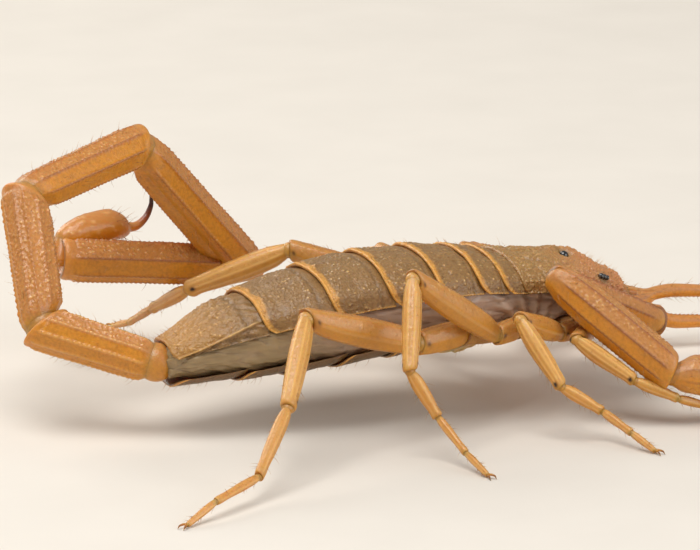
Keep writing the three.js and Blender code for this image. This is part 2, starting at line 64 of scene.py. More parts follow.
MM = 0.001
JOINT_GAP = 0.06
TRUNK_X = (-17.3, -16.9, -13.0, -9.8, -7.0, -4.5, -2.4, -1.1, 0.0, 1.6, 3.1, 4.4, 5.0, 5.75)
TRUNK_HALF = (1.10, 1.35, 2.60, 3.15, 3.30, 3.25, 3.05, 2.90, 2.85, 2.75, 2.40, 1.95, 1.70, 1.50)
TRUNK_TOP = (4.30, 4.50, 6.05, 6.90, 7.30, 7.35, 7.20, 7.00, 6.75, 6.60, 6.40, 6.00, 5.60, 5.30)
TRUNK_BOTTOM = (2.80, 2.75, 2.80, 2.95, 3.15, 3.35, 3.60, 3.65, 3.70, 3.70, 3.75, 3.85, 3.95, 4.10)
TRUNK_SQUARENESS = 2.35
BACK_MARGINS = (0.0, -1.1, -2.4, -4.5, -7.0, -9.8, -13.0, -16.9)
BELLY_MARGINS = (-4.1, -6.6, -9.2, -11.6, -13.9, -16.9)
BACK_SPAN = 75                  # degrees that a back plate reaches down each side from the top
BELLY_SPAN = 60                 # and a belly plate reaches up each side from below
CARAPACE_FRONT = 5.75
EYE_HILL = {"x": 3.1, "length": 0.95, "width": 0.62, "height": 0.30}
MEDIAN_EYE = (3.1, 0.47, 6.75)
MEDIAN_EYE_RADIUS = 0.23
LATERAL_EYE = (4.5, 2.02, 5.93)
LATERAL_EYE_RADIUS = 0.135
LATERAL_EYE_SPACING = 0.18
CHELICERA = {"x": 5.12, "y": 0.58, "z": 4.72, "length": 1.9, "half": 0.5}

TAIL_ROOT = (-17.37, 0.0, 3.55)
TAIL = (                        # length, half width, half height, heading and rise of each ring
    (5.48, 1.14, 1.12, 150, 16), (6.62, 1.07, 1.08, 81.5, 51), (7.69, 1.03, 1.06, 26, 8.5),
    (9.25, 1.08, 1.12, 17, -47.5), (9.10, 1.04, 1.07, 174, 6))
TAIL_CURL = (121, -22)          # heading and rise of the axis that the tail curls about
FIRST_RING_BACK = (0.2, 0.25, 1.0)
STING = {"lift": 1.06, "length": 3.95, "half": 0.78, "tall": 0.80, "arch": 0.36, "heading": 12, "rise": 0.5,
         "spike": 2.85, "spike_half": 0.25, "spike_steps": 6, "curl": 122}

LEG_HIPS = ((3.85, 3.00, 4.03), (2.41, 3.30, 3.90), (-0.73, 3.50, 4.33), (-3.62, 3.70, 4.44))
COXA_ROOTS = ((3.3, 0.7, 3.75), (2.5, 0.7, 3.70), (1.6, 0.9, 3.65), (0.6, 1.0, 3.60))
COXA_HALVES = (0.50, 0.55, 0.60, 0.65)
LEG_LENGTHS = (                 # trochanter, femur, patella, tibia, basitarsus, telotarsus
    (1.13, 2.3, 3.3, 2.2, 1.9, 1.4), (1.31, 3.6, 3.7, 2.3, 2.0, 1.5),
    (1.55, 5.9, 4.5, 2.5, 2.4, 1.8), (2.5, 6.3, 5.3, 4.1, 3.2, 2.0))
LEG_TALL = (                    # half heights of trochanter, femur, patella and tibia
    (0.40, 0.50, 0.42, 0.30), (0.48, 0.58, 0.46, 0.31), (0.55, 0.68, 0.54, 0.34), (0.66, 0.76, 0.60, 0.38))
LEG_FLATNESS = 0.76
TROCHANTER_SWELL = 1.08
TARSUS_HALF = 0.22
ANKLE_HEIGHT = 0.75
TOE_HEIGHT = 0.13
LEG_POSES = {                   # headings of all six parts, then rises of the first four
    "right": (
        ((-135, -133, -36, -22, 0, 12), (0, 0, -33, -23)),
        ((-148, -148, -65, -14, -70, -62), (4, 22, -47, -33)),
        ((-149, -167, -116, -28, -75, -78), (0, 35, -53, -59)),
        ((-165, -172, -123, -134, -148, -152), (-2, 18, -34, -33))),
    "left": (
        ((108, 100, 62, 50, 42, 36), (-22, -34, -4, -16)),
        ((122, 122, 92, 82, 76, 72), (-14, -6, -26, -24)),
        ((92, 98, 110, 112, 116, 120), (-4, 5, -30, -34)),
        ((50, 152, 156, 98, 93, 97), (-8, 17, -22, -26))),
}

ARM_HIP = (5.75, 1.80, 3.95)
ARM_ROOT = (4.3, 0.8, 4.15)
ARM_COXA = 0.62
ARM_LENGTHS = (1.35, 6.4, 6.8, 4.2, 6.5)
ARM_HALF = {"trochanter": (0.66, 0.80), "femur": (0.72, 0.82), "patella": (0.84, 1.02),
            "hand": (0.98, 1.02), "finger": (0.34, 0.36)}
FINGER_GAPE = 0.52
ARM_POSES = {"right": ((-45, -165, -37.5, -8, 4), (-6, 26, -37, -7, -3)),
             "left": ((60, 158, 18, -25, -8), (20, 11, -25, -8, -4))}
# Seams between the plates of the breast, as pairs of (x, y) in the left half
BREAST_SEAMS = (((4.9, 0.0), (1.45, 0.0)), ((3.9, 0.0), (4.4, 2.4)), ((2.9, 0.0), (3.1, 3.1)),
                ((2.0, 0.25), (0.84, 3.4)), ((1.2, 0.55), (-2.2, 3.6)), ((1.45, 0.0), (1.1, 0.55)),
                ((1.1, 0.55), (0.25, 0.62)), ((0.25, 0.0), (0.25, 0.75)), ((0.25, 0.0), (-0.6, 0.0)),
                ((0.25, 0.75), (-0.5, 0.95)))
COMB = {"root": (-0.9, 0.5, 3.22), "tip": (-3.4, 2.3, 3.22), "half": 0.22, "teeth": 20, "tooth": 0.62}

SIDES = {"left": 1, "right": -1}
UP = np.array((0.0, 0.0, 1.0))

# The packed model's origin is elsewhere; an eye, which is the same ball in both, ties the two.
_eye_low, _eye_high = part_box("median_eye_left")
SHIFT = (np.array(_eye_low) + np.array(_eye_high)) / 2 / MM - np.array(MEDIAN_EYE)


# ---------------------------------------------------------------- small maths

def unit(v):
    v = np.asarray(v, float)
    return v / np.linalg.norm(v, axis=-1, keepdims=True)


def aim(heading, rise):
    """Unit vector at a heading, counted from +X towards +Y, and a rise above the floor."""
    h, r = math.radians(heading), math.radians(rise)
    return np.array((math.cos(r) * math.cos(h), math.cos(r) * math.sin(h), math.sin(r)))


def mirrored(point, side):
    return np.array((point[0], side * point[1], point[2]))


def chain(start, headings, rises, lengths):
    points = [np.asarray(start, float)]
    for heading, rise, length in zip(headings, rises, lengths):
        points.append(points[-1] + length * aim(heading, rise))
    return points


def directions(points):
    return [unit(b - a) for a, b in zip(points, points[1:])]


def neighbours(ways, number):
    """The directions of the parts before and after one, as sweep asks for them."""
    return {"before": ways[number - 1] if number else None,
            "after": ways[number + 1] if number + 1 < len(ways) else None}


def step(low, high, x):
    """0 below low, 1 above high, smooth between."""
    t = np.clip((x - low) / (high - low), 0, 1)
    return t * t * (3 - 2 * t)


def window(x, start, full, fade, end):
    """0 outside start and end, 1 from full to fade, smooth between."""
    return step(start, full, x) * (1 - step(fade, end, x))


def bell(away, width):
    """1 at 0, and close to 0 from twice the width on."""
    return np.exp(-(away / width) ** 2)


def ripple(turns):
    """A wave from 0 to 1, at its highest at each whole number of turns."""
    return 0.5 + 0.5 * np.cos(2 * math.pi * turns)


def circle(sides):
    """Angles in radians, evenly round from 0."""
    return 2 * math.pi * np.arange(sides) / sides


def glide(xs, ys, x):
    """A smooth curve through the points that never overshoots between two of them."""
    xs, ys = np.asarray(xs, float), np.asarray(ys, float)
    span = np.diff(xs)
    slope = np.diff(ys) / span
    tangent = np.concatenate([slope[:1], np.zeros(len(xs) - 2), slope[-1:]])
    rising = slope[:-1] * slope[1:] > 0
    total = np.where(rising, slope[:-1] + slope[1:], 1)
    tangent[1:-1] = np.where(rising, 2 * slope[:-1] * slope[1:] / total, 0)
    k = np.clip(np.searchsorted(xs, x, side="right") - 1, 0, len(span) - 1)
    t = np.clip((x - xs[k]) / span[k], 0, 1)
    return ((1 + 2 * t) * (1 - t) ** 2 * ys[k] + t * (1 - t) ** 2 * span[k] * tangent[k]
            + t * t * (3 - 2 * t) * ys[k + 1] + t * t * (t - 1) * span[k] * tangent[k + 1])


def scramble(cells, salt):
    """A steady pseudo-random number from 0 to 1 for each whole-number cell."""
    x = cells[..., 0] * 73856093 ^ cells[..., 1] * 19349663 ^ cells[..., 2] * 83492791 ^ (salt * 2654435761)
    x = (x ^ (x >> 13)) * 1274126177 & 0xFFFFFFFF
    x = (x ^ (x >> 16)) * 2246822519 & 0xFFFFFFFF
    return ((x ^ (x >> 15)) & 0xFFFFFF) / float(0xFFFFFF)


def grains(points, spacing, salt, share=1.0):
    """Height, 0 to 1, of small round grains scattered through space, at each point."""
    cell = points / spacing
    base = np.floor(cell).astype(np.int64)
    best = np.zeros(points.shape[:-1])
    for corner in np.ndindex(3, 3, 3):
        near = base + np.array(corner) - 1
        centre = near + 0.5 + 0.6 * (np.stack([scramble(near, salt + k) for k in range(3)], -1) - 0.5)
        chance = scramble(near, salt + 3)
        radius = 0.30 + 0.32 * scramble(near, salt + 4)
        away = np.linalg.norm(cell - centre, axis=-1) / radius
        dome = np.sqrt(np.clip(1 - away * away, 0, 1))
        best = np.maximum(best, dome * (chance < share))
    return best


def swell(points, wavelength, salt):
    """Soft uneven waves, about -1 to 1."""
    rng = np.random.default_rng(salt)
    total = np.zeros(points.shape[:-1])
    for _ in range(7):
        direction = unit(rng.normal(size=3)) * 2 * math.pi / (wavelength * rng.uniform(0.7, 1.5))
        total = total + np.sin(points @ direction + rng.uniform(0, 2 * math.pi))
    return total / 3


# ---------------------------------------------------------------- surfaces

MARKS = ("keel", "grain", "glow", "tone")


def grid_normals(points):
    """Outward normals of a surface whose rows of points are closed rings."""
    normal = np.cross(np.roll(points, -1, 1) - np.roll(points, 1, 1), np.gradient(points, axis=0))
    return normal / np.maximum(np.linalg.norm(normal, axis=-1, keepdims=True), 1e-12)


def underlit(normals):
    """1 where a face looks down: the mark for painted light, the glow colour that stands for light coming
    through the cuticle.
    """
    return step(0.34, -0.06, normals[..., 2])


def packed_frame(points):
    """Points in metres in the packed model's frame, none of them below the floor."""
    points = (points + SHIFT) * MM
    points[:, 2] = np.maximum(points[:, 2], 0)
    return points


class Shape:
    """Points, faces and surface marks of one piece, gathered from several surfaces."""

    def __init__(self):
        self.points, self.quads, self.triangles = [], [], []
        self.marks = {name: [] for name in MARKS}
        self.count = 0

    def coat(self, base, height=0.0, **marks):
        """Adds a surface raised by a height, with each end closed by a fan round a middle point.

        It takes the glow mark where it looks down, painted light coming through the cuticle, unless the marks
        say otherwise.
        """
        marks.setdefault("glow", underlit(base.normals))
        rows, columns = base.points.shape[:2]
        points = base.points + base.normals * np.broadcast_to(height, (rows, columns))[..., None]
        left = self.count + np.arange(rows * columns).reshape(rows, columns)
        right = np.roll(left, -1, 1)
        self.quads.append(np.stack([left[:-1], right[:-1], right[1:], left[1:]], -1).reshape(-1, 4))
        for number, (row, a, b) in enumerate(((0, right, left), (-1, left, right))):
            pole = np.full(columns, self.count + rows * columns + number)
            self.triangles.append(np.stack([pole, a[row], b[row]], -1))
        self.points += [points.reshape(-1, 3), points[0].mean(0)[None], points[-1].mean(0)[None]]
        for name in MARKS:
            mark = np.broadcast_to(marks.get(name, 0.0), (rows, columns))
            self.marks[name] += [mark.reshape(-1), mark[:1].mean(1), mark[-1:].mean(1)]
        self.count += rows * columns + 2

    def ball(self, centre, radius, rings=20, sides=28, **marks):
        """Adds a round end, an eye or the like."""
        rise = np.linspace(-0.48, 0.48, rings)[:, None] * math.pi
        turn = circle(sides)[None, :]
        x, y, z = np.cos(rise) * np.cos(turn), np.cos(rise) * np.sin(turn), np.sin(rise) + 0 * turn
        normals = np.stack([x, y, z], -1)
        self.coat(SimpleNamespace(points=np.asarray(centre) + 0 * normals, normals=normals), radius, **marks)

    def build(self, name, finish, slot, *nodes):
        """One Blender object from all that was added, in the packed model's frame."""
        points = packed_frame(np.concatenate(self.points))
        quads, triangles = np.concatenate(self.quads), np.concatenate(self.triangles)
        mesh = bpy.data.meshes.new(name)
        mesh.vertices.add(len(points))
        mesh.vertices.foreach_set("co", points.astype(np.float32).ravel())
        corners = np.concatenate([quads.ravel(), triangles.ravel()]).astype(np.int32)
        starts = np.concatenate([np.arange(len(quads)) * 4, 4 * len(quads) + np.arange(len(triangles)) * 3])
        mesh.loops.add(len(corners))
        mesh.loops.foreach_set("vertex_index", corners)
        mesh.polygons.add(len(starts))
        mesh.polygons.foreach_set("loop_start", starts.astype(np.int32))
        mesh.update(calc_edges=True)
        mesh.shade_smooth()
        for mark in MARKS:
            values = np.concatenate(self.marks[mark]).astype(np.float32)
            mesh.attributes.new(mark, "FLOAT", "POINT").data.foreach_set("value", values)
        place_piece(mesh, name, finish, slot, *nodes)


def place_piece(mesh, name, finish, slot, *nodes):
    """Puts a finished mesh into the scene as a piece that replaces the named nodes."""
    if mesh.validate():
        raise RuntimeError(f"{name} has faces that Blender can't use")
    mesh.materials.append(finish_named(finish))
    piece = bpy.data.objects.new(name, mesh)
    bpy.context.scene.collection.objects.link(piece)
    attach(piece, "root")
    if nodes:
        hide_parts(*nodes)


def facets(back, corners, flatness):
    """Radius factor of a section with flat faces between corners, at angles from the back in degrees."""
    at = np.abs(back)
    edges = np.array([-corners[0], *corners, 360 - corners[-1]], float)
    k = np.clip(np.searchsorted(edges, at, side="right") - 1, 0, len(edges) - 2)
    half, middle = (edges[k + 1] - edges[k]) / 2, (edges[k + 1] + edges[k]) / 2
    flat = np.cos(np.radians(half)) / np.cos(np.radians(at - middle))
    return 1 + flatness * (flat - 1)


def scaled(rows, wide, tall):
    """Rows for sweep from places, shares of the half width, shares of the half height and shifts.

    A row may end after its second number, where both shares are the same.
    """
    return [(row[0], row[1] * wide, row[min(2, len(row) - 1)] * tall, *row[3:]) for row in rows]


def sweep(path, rows, rings, sides, top=UP, side=None, corners=None, flatness=0.8, before=None, after=None,
          lean_limit=1.1):
    """A limb's surface along a path, with what later steps ask of it.

    Each row is (place, half width, half height, shift to the side, shift to the top), and place counts
    the path's parts. corners are the angles of its edges from the back, in degrees. before and after are
    the directions of the neighbours, which the ends are mitred to by up to lean_limit.
    """
    path = np.asarray(path, float)
    rows = np.array([list(row) + [0] * (5 - len(row)) for row in rows], float)
    lengths = np.linalg.norm(np.diff(path, axis=0), axis=1)
    travel = np.abs(np.diff(rows[:, 0])) * lengths.mean()
    run = np.concatenate([[0], np.cumsum(np.hypot(travel, np.diff(rows[:, 1])) + 1e-4)])
    stations = np.linspace(0, run[-1], rings)
    place, wide, tall, aside, above = (glide(run, column, stations) for column in rows.T)
    last = len(path) - 1

    def centre_at(p):
        inside = np.clip(p, 0, last)
        beyond = np.where((p > last)[:, None], path[-1] - path[-2], path[1] - path[0])
        smooth = np.stack([glide(np.arange(last + 1), path[:, c], inside) for c in range(3)], -1)
        return smooth + (p - inside)[:, None] * beyond

    along = unit(centre_at(place + 0.02) - centre_at(place - 0.02))
    if side is None:
        across = unit(np.cross(np.broadcast_to(top, along.shape), along))
    else:
        across = unit(np.broadcast_to(side, along.shape) - along * (along @ np.asarray(side))[:, None])
    upward = np.cross(along, across)
    angle = circle(sides)
    back = (np.degrees(angle) + 90) % 360 - 180
    faceted = window(place, 0, 0.1, last - 0.1, last)
    factor = np.ones((rings, sides))
    if corners is not None:
        factor = 1 + faceted[:, None] * (facets(back, corners, flatness) - 1)
    radial = (across[:, None] * (np.cos(angle) * factor * wide[:, None])[..., None]
              + upward[:, None] * (np.sin(angle) * factor * tall[:, None])[..., None])
    centre = centre_at(place) + across * aside[:, None] + upward * above[:, None]
    points = centre[:, None] + radial
    for neighbour, at_end in ((before, False), (after, True)):
        if neighbour is None:
            continue
        axis = along[-1] if at_end else along[0]
        plane = unit(axis + neighbour)
        zone = 1.7 * wide.max() / lengths[-1 if at_end else 0]
        weight = step(last - zone, last, place) if at_end else step(zone, 0, place)
        lean = np.clip(-(radial @ plane) / max(axis @ plane, 0.45), -lean_limit, lean_limit)
        points = points + axis * (lean * weight[:, None])[..., None]
    distance = place * lengths.mean()
    return SimpleNamespace(
        points=points, normals=grid_normals(points), place=place[:, None] / last, back=back[None, :],
        radius=np.hypot(wide, tall)[:, None] / math.sqrt(2), distance=distance[:, None], along=along[:, None])


def around(base, angle):
    """Distance round a limb's surface, in millimetres, from an angle from the back on either side."""
    return (np.abs(base.back) - angle) * math.pi / 180 * base.radius


def ridges(base, angles, width, bead):
    """Height and line marks, 0 to 1, of beaded keels at angles from the back in degrees."""
    height, line = 0.0, 0.0
    for angle in angles:
        away = around(base, angle)
        beads = ripple(base.distance / bead + 0.37 * angle)
        height = np.maximum(height, bell(away, width) * (0.45 + 0.55 * beads))
        line = np.maximum(line, bell(away, 0.75 * width))
    return height, line


# ---------------------------------------------------------------- trunk surface

def trunk_point(x, angle, offset):
    """A point of the trunk at X, at an angle in radians from its left side, moved out by an offset."""
    half, top, bottom = (glide(TRUNK_X, values, x) for values in (TRUNK_HALF, TRUNK_TOP, TRUNK_BOTTOM))
    power = 2 / TRUNK_SQUARENESS
    across = np.sign(np.cos(angle)) * np.abs(np.cos(angle)) ** power
    upward = np.sign(np.sin(angle)) * np.abs(np.sin(angle)) ** power
    x, across, upward = np.broadcast_arrays(x, across, upward)
    middle, tall = (top + bottom) / 2, (top - bottom) / 2
    return np.stack([x, (half + offset) * across, middle + (tall + offset) * upward], -1)


UNDERFACE_ROWS = 10             # from margin to margin on the hidden face of a plate


def plate(front, rear, middle, span, lift, thickness, lengthwise, across):
    """A closed shell plate of the trunk.

    front and rear give the X of its two margins for v, which runs from -1 at the left edge to 1 at the
    right; middle and span are the angles in degrees that it covers; lift gives its height over the trunk
    for u, from 0 at the front margin to 1 at the rear one, and v. The result's upper is 1 on the outer
    face, and its raised is the share of relief that each point takes.
    """
    v = np.linspace(-1, 1, across)[:, None]
    u_out = (np.arange(lengthwise) / (lengthwise - 1))[None, :]
    u_in = np.linspace(1, 0, UNDERFACE_ROWS)[None, :]
    taper = np.sqrt(np.clip(1 - v ** 8, 0.02, 1))

    def layer(u, drop):
        x = front(v) + (rear(v) - front(v)) * u
        angle = np.radians(middle + span * v) + 0 * u
        return trunk_point(x, angle, lift(u, v) - drop)

    thick = thickness * taper
    outer, under = layer(u_out, 0 * thick), layer(u_in, thick)
    rim_rear = (outer[:, -1:] + under[:, :1]) / 2 + np.array((-0.35 * thickness, 0, 0)) * taper[..., None]
    rim_front = (outer[:, :1] + under[:, -1:]) / 2 + np.array((0.2 * thickness, 0, 0)) * taper[..., None]
    points = np.concatenate([outer, rim_rear, under, rim_front], 1)
    u = np.concatenate([u_out, [[1.0]], u_in, [[0.0]]], 1) + 0 * v
    upper = np.concatenate([np.ones(lengthwise), [0.5], np.zeros(UNDERFACE_ROWS + 1)])[None, :] + 0 * v
    return SimpleNamespace(points=points, normals=grid_normals(points), u=u, v=v + 0 * u, upper=upper,
                           raised=step(0.6, 1.0, upper))


# ---------------------------------------------------------------- finishes

def srgb(code):
    """Scene-linear colour of a hex code."""
    parts = [int(code[i:i + 2], 16) / 255 for i in (0, 2, 4)]
    return tuple(c / 12.92 if c <= 0.04045 else ((c + 0.055) / 1.055) ** 2.4 for c in parts)


class Tone:
    """A number in a material that can be added, multiplied and compared with others."""

    def __init__(self, finish, socket):
        self.finish, self.socket = finish, socket

    def math(self, operation, *values):
        made = self.finish.node("ShaderNodeMath", {"operation": operation}, dict(enumerate(values)))
        return Tone(self.finish, made.outputs[0])

    def __add__(self, other):
        return self.math("ADD", self, other)

    def __sub__(self, other):
        return self.math("SUBTRACT", self, other)

    def __rsub__(self, other):
        return self.math("SUBTRACT", other, self)

    def __mul__(self, other):
        return self.math("MULTIPLY", self, other)

    def __pow__(self, other):
        return self.math("POWER", self, other)

    __radd__ = __add__
    __rmul__ = __mul__

    def at_least(self, low):
        return self.math("MAXIMUM", self, low)

    def between(self, low, high):
        """0 at low, 1 at high, clamped."""
        scaled = self.math("SUBTRACT", self, low)
        made = self.finish.node("ShaderNodeMath", {"operation": "MULTIPLY", "use_clamp": True},
                                {0: scaled, 1: 1 / (high - low)})
        return Tone(self.finish, made.outputs[0])


class Finish:
    """One material under construction."""

    def __init__(self, name):
        self.material = bpy.data.materials.new(name)
        self.material.use_nodes = True
        self.tree = self.material.node_tree
        self.shader = self.tree.nodes["Principled BSDF"]
        self.place = self.node("ShaderNodeTexCoord").outputs["Object"]

    def node(self, kind, settings=None, inputs=None):
        made = self.tree.nodes.new(kind)
        for key, value in (settings or {}).items():
            setattr(made, key, value)
        for key, value in (inputs or {}).items():
            self.feed(made.inputs[key], value)
        return made

    def feed(self, socket, value):
        source = value.socket if isinstance(value, Tone) else value
        if isinstance(source, bpy.types.NodeSocket):
            self.tree.links.new(source, socket)
        else:
            socket.default_value = source

    def mark(self, name):
        return Tone(self, self.node("ShaderNodeAttribute", {"attribute_name": name}).outputs["Fac"])

    def noise(self, per_mm, detail=2.0, stretch=None):
        place = self.place
        if stretch:
            stretched = self.node("ShaderNodeVectorMath", {"operation": "MULTIPLY"}, {0: place, 1: stretch})
            place = stretched.outputs[0]
        inputs = {"Vector": place, "Scale": per_mm / MM, "Detail": detail}
        return Tone(self, self.node("ShaderNodeTexNoise", None, inputs).outputs["Fac"])

    def cells(self, per_mm):
        inputs = {"Vector": self.place, "Scale": per_mm / MM}
        return Tone(self, self.node("ShaderNodeTexVoronoi", None, inputs).outputs["Distance"])

    def mix(self, a, b, factor, blend="MIX"):
        """Colour a where the factor is 0 and b, blended with it, where the factor is 1."""
        a, b = ((*c, 1) if isinstance(c, tuple) else c for c in (a, b))
        made = self.node("ShaderNodeMix", {"data_type": "RGBA", "blend_type": blend}, {0: factor, 6: a, 7: b})
        return made.outputs[2]

    def bump(self, height, depth):
        inputs = {"Height": height, "Distance": depth * MM, "Strength": 1.0}
        return self.node("ShaderNodeBump", None, inputs).outputs["Normal"]

    def done(self, colour, roughness, **constants):
        self.feed(self.shader.inputs["Base Color"], (*colour, 1) if isinstance(colour, tuple) else colour)
        self.feed(self.shader.inputs["Roughness"], roughness)
        for key, value in constants.items():
            self.feed(self.shader.inputs[key.replace("_", " ")], value)
        return self.material


def paint(colour):
    """A colour that the settings name, or else that of a hex code."""
    return getattr(look(), colour)[:] if hasattr(look(), colour) else srgb(colour)


def cuticle(name, lit, glow, line, tips, accent, rough, pores, sheer=0.35, dirt=0.30, tip_size=6):
    """Shell with painted light: the lit colour where it faces up and the glow colour where light would come
    through it, with keel lines and grain tips.
    """
    finish = Finish(name)
    lit, glow, line, tips, accent = (paint(colour) for colour in (lit, glow, line, tips, accent))
    keel, grain, under, tone = (finish.mark(mark) for mark in MARKS)
    cloud, fine = finish.noise(0.9, 3.0), finish.noise(7.0, 3.0)
    # Painted light and shade: lit and glowing copies of one amber, chosen by which way each face looks, with
    # random clouds.
    colour = finish.mix(lit, glow, under + (cloud - 0.5) * 0.9)
    colour = finish.mix(colour, line, finish.noise(2.6, 3.0).between(0.50, 0.80) * 0.20)
    grime = finish.mix(GRIME, (1.0, 1.0, 1.0), fine.between(0.3, 0.6))
    colour = finish.mix(colour, grime, dirt, "MULTIPLY")
    # Pale grain tips, fading on faces that look down: partly the grains' own colour, partly a painted glint.
    colour = finish.mix(colour, tips, (grain ** tip_size) * (1 - 0.7 * under) * fine.between(0.30, 0.62))
    colour = finish.mix(colour, line, keel.at_least(0) * 0.8)
    colour = finish.mix(colour, tips, (keel * -1).at_least(0) * 0.55)
    colour = finish.mix(colour, accent, tone.at_least(0))
    colour = finish.mix(colour, DARK_SPOT_AND_SHADE, (tone * -1).at_least(0))
    height = finish.noise(14.0) * 0.7 + finish.cells(11.0) * 0.6
    return finish.done(colour, rough + (fine - 0.5) * 0.25 - grain * 0.12, Normal=finish.bump(height, pores),
                       Subsurface_Weight=sheer, Subsurface_Radius=FLESH_SPREAD, Subsurface_Scale=0.8 * MM,
                       IOR=1.5, Coat_Weight=0.10, Coat_Roughness=0.25)


GRIME = (0.35, 0.25, 0.16)
# Dark spots, eye surrounds and dark part ends, and painted shade in creases and under the front of the head.
DARK_SPOT_AND_SHADE = srgb("2a130b")
FLESH_SPREAD = (1.0, 0.42, 0.14)      # how far red, green and blue light travel inside the shell

# Painted-light colours where lit and where glowing, then colours of keel lines, of grain tips and of tinted
# parts, then the surface
SHELLS = {
    "tail_shell": (("tail_lit", "tail_glow", "keel_line", "speck", "c98a3c"),
                   {"rough": 0.34, "pores": 0.016}),
    "leg_shell": (("leg_lit", "leg_glow", "keel_line", "efc98f", "e2b468"),
                  {"rough": 0.36, "pores": 0.010, "sheer": 0.40, "dirt": 0.16}),
    "arm_shell": (("arm_lit", "arm_glow", "keel_line", "speck", "6a3218"),
                  {"rough": 0.38, "pores": 0.014, "dirt": 0.22}),
    "back_shell": (("back_lit", "6b4a22", "5d432c", "speck", "margin_gold"),
                   {"rough": 0.40, "pores": 0.022, "sheer": 0.18, "dirt": 0.45}),
    "head_shell": (("a37c48", "a06a30", "5d432c", "speck", "head_front"),
                   {"rough": 0.36, "pores": 0.022, "sheer": 0.25, "dirt": 0.32, "tip_size": 3}),
    "belly_shell": (("7d5f38", "5c4120", "3a2613", "b08a52", "margin_gold"),
                    {"rough": 0.34, "pores": 0.010, "sheer": 0.18}),
    "coxa_shell": (("cf9a62", "b9822f", "keel_line", "f0cf98", "d09a50"),
                   {"rough": 0.40, "pores": 0.014, "dirt": 0.25}),
    "comb_shell": (("dcbf8f", "c9a05c", "a87c46", "f0dcb4", "b98a4c"),
                   {"rough": 0.38, "pores": 0.008, "sheer": 0.40, "dirt": 0.12}),
}


def look():
    return bpy.context.scene.scorpion_look


def relief(name):
    """A size of the raised detail, in millimetres."""
    return getattr(bpy.context.scene.scorpion_relief, name) / MM


def sting_shell():
    """The bulb's amber, which turns brown and then black along the spike."""
    finish = Finish("sting_shell")
    grain, under, tone = (finish.mark(mark) for mark in MARKS[1:])
    # Painted light: the lit colour on faces that look up and the glow colour on faces that look down.
    colour = finish.mix(paint("tail_lit"), paint("tail_glow"), under + (finish.noise(0.8, 3.0) - 0.5) * 0.6)
    colour = finish.mix(colour, paint("speck"), grain * 0.5)
    colour = finish.mix(colour, srgb("8a4a32"), tone.between(0.05, 0.45))
    colour = finish.mix(colour, srgb("2b1718"), tone.between(0.40, 0.85))
    return finish.done(colour, 0.34 - tone * 0.12, Normal=finish.bump(finish.noise(5.0), 0.02),
                       Subsurface_Weight=0.30, Subsurface_Radius=FLESH_SPREAD, Subsurface_Scale=0.6 * MM,
                       Coat_Weight=0.2)


def soft_skin():
    """The membrane between the plates: greyish, olive towards the tail, with fine creases along the body, and
    painted shade where it looks down, under the front of the head and in the creases.
    """
    finish = Finish("soft_skin")
    crease, cloud = finish.noise(3.2, 4.0, (0.22, 1.0, 1.6)), finish.noise(0.7, 3.0)
    keel, grain, under, tone = (finish.mark(mark) for mark in MARKS)
    # Painted shade: a little darker brown where the membrane looks down.
    colour = finish.mix(paint("membrane"), srgb("80634a"), cloud.between(0.42, 0.68) * 0.35 + under * 0.1)
    colour = finish.mix(colour, srgb("bda58f"), crease.between(0.55, 0.72) * 0.35 + keel * 0.4)
    colour = finish.mix(colour, srgb("917a4c"), tone.at_least(0))
    # Painted shade under the front of the head and in the creases, carried by the skin's negative tone.
    colour = finish.mix(colour, DARK_SPOT_AND_SHADE, (tone * -1).at_least(0) * 0.9)
    return finish.done(colour, 0.46 - crease * 0.2 + grain * 0.1, Normal=finish.bump(crease, 0.05),
                       Subsurface_Weight=0.25, Subsurface_Radius=(1.0, 0.55, 0.3), Subsurface_Scale=0.6 * MM)


def eye_gloss():
    finish = Finish("eye_gloss")
    colour = finish.mix(srgb("070707"), srgb("1c1a20"), finish.noise(3.0))
    return finish.done(colour, 0.10, Coat_Weight=1.0, Coat_Roughness=0.03, IOR=1.5)


def bristle_shaft():
    finish = Finish("bristle_shaft")
    return finish.done(finish.mix(srgb("93602f"), srgb("d3a468"), finish.mark("tone")), 0.40)


def pale_floor():
    finish = Finish("pale_floor")
    return finish.done(finish.mix(srgb("d9d4cc"), srgb("e2ddd5"), finish.noise(0.15, 3.0)), 0.85)


PLAIN_FINISHES = {"sting_shell": sting_shell, "soft_skin": soft_skin, "eye_gloss": eye_gloss,
                  "bristle_shaft": bristle_shaft, "pale_floor": pale_floor}


def finish_named(name):
    """The material of that name, made the first time that it is asked for."""
    if name in bpy.data.materials:
        return bpy.data.materials[name]
    if name in PLAIN_FINISHES:
        return PLAIN_FINISHES[name]()
    colours, surface = SHELLS[name]
    return cuticle(name, *colours, **surface)


# ---------------------------------------------------------------- bristles

BRISTLE_BEDS = []               # roots, headings, ways along the body, lengths and places on the unwrap
BRISTLE_BEND = 0.35
BRISTLE_ROOT = 0.03             # how deep a bristle is set in
PATCH_SIZE = 0.003              # of one bristle on the unwrap


def plant(base, number, salt, length, low=0.08, high=0.92, lean=0.7):
    """Remembers roots for bristles, scattered over a limb between two places along it."""
    rng = np.random.default_rng(salt)
    rows = rng.choice(np.flatnonzero((base.place[:, 0] > low) & (base.place[:, 0] < high)), number)
    columns = rng.integers(0, base.points.shape[1], number)
    along = base.along[rows, 0]
    heading = unit(base.normals[rows, columns] + lean * along + 0.28 * rng.normal(size=(number, 3)))
    remember_bristles(base, rows, columns, heading, along, length * rng.uniform(0.5, 1.25, number))


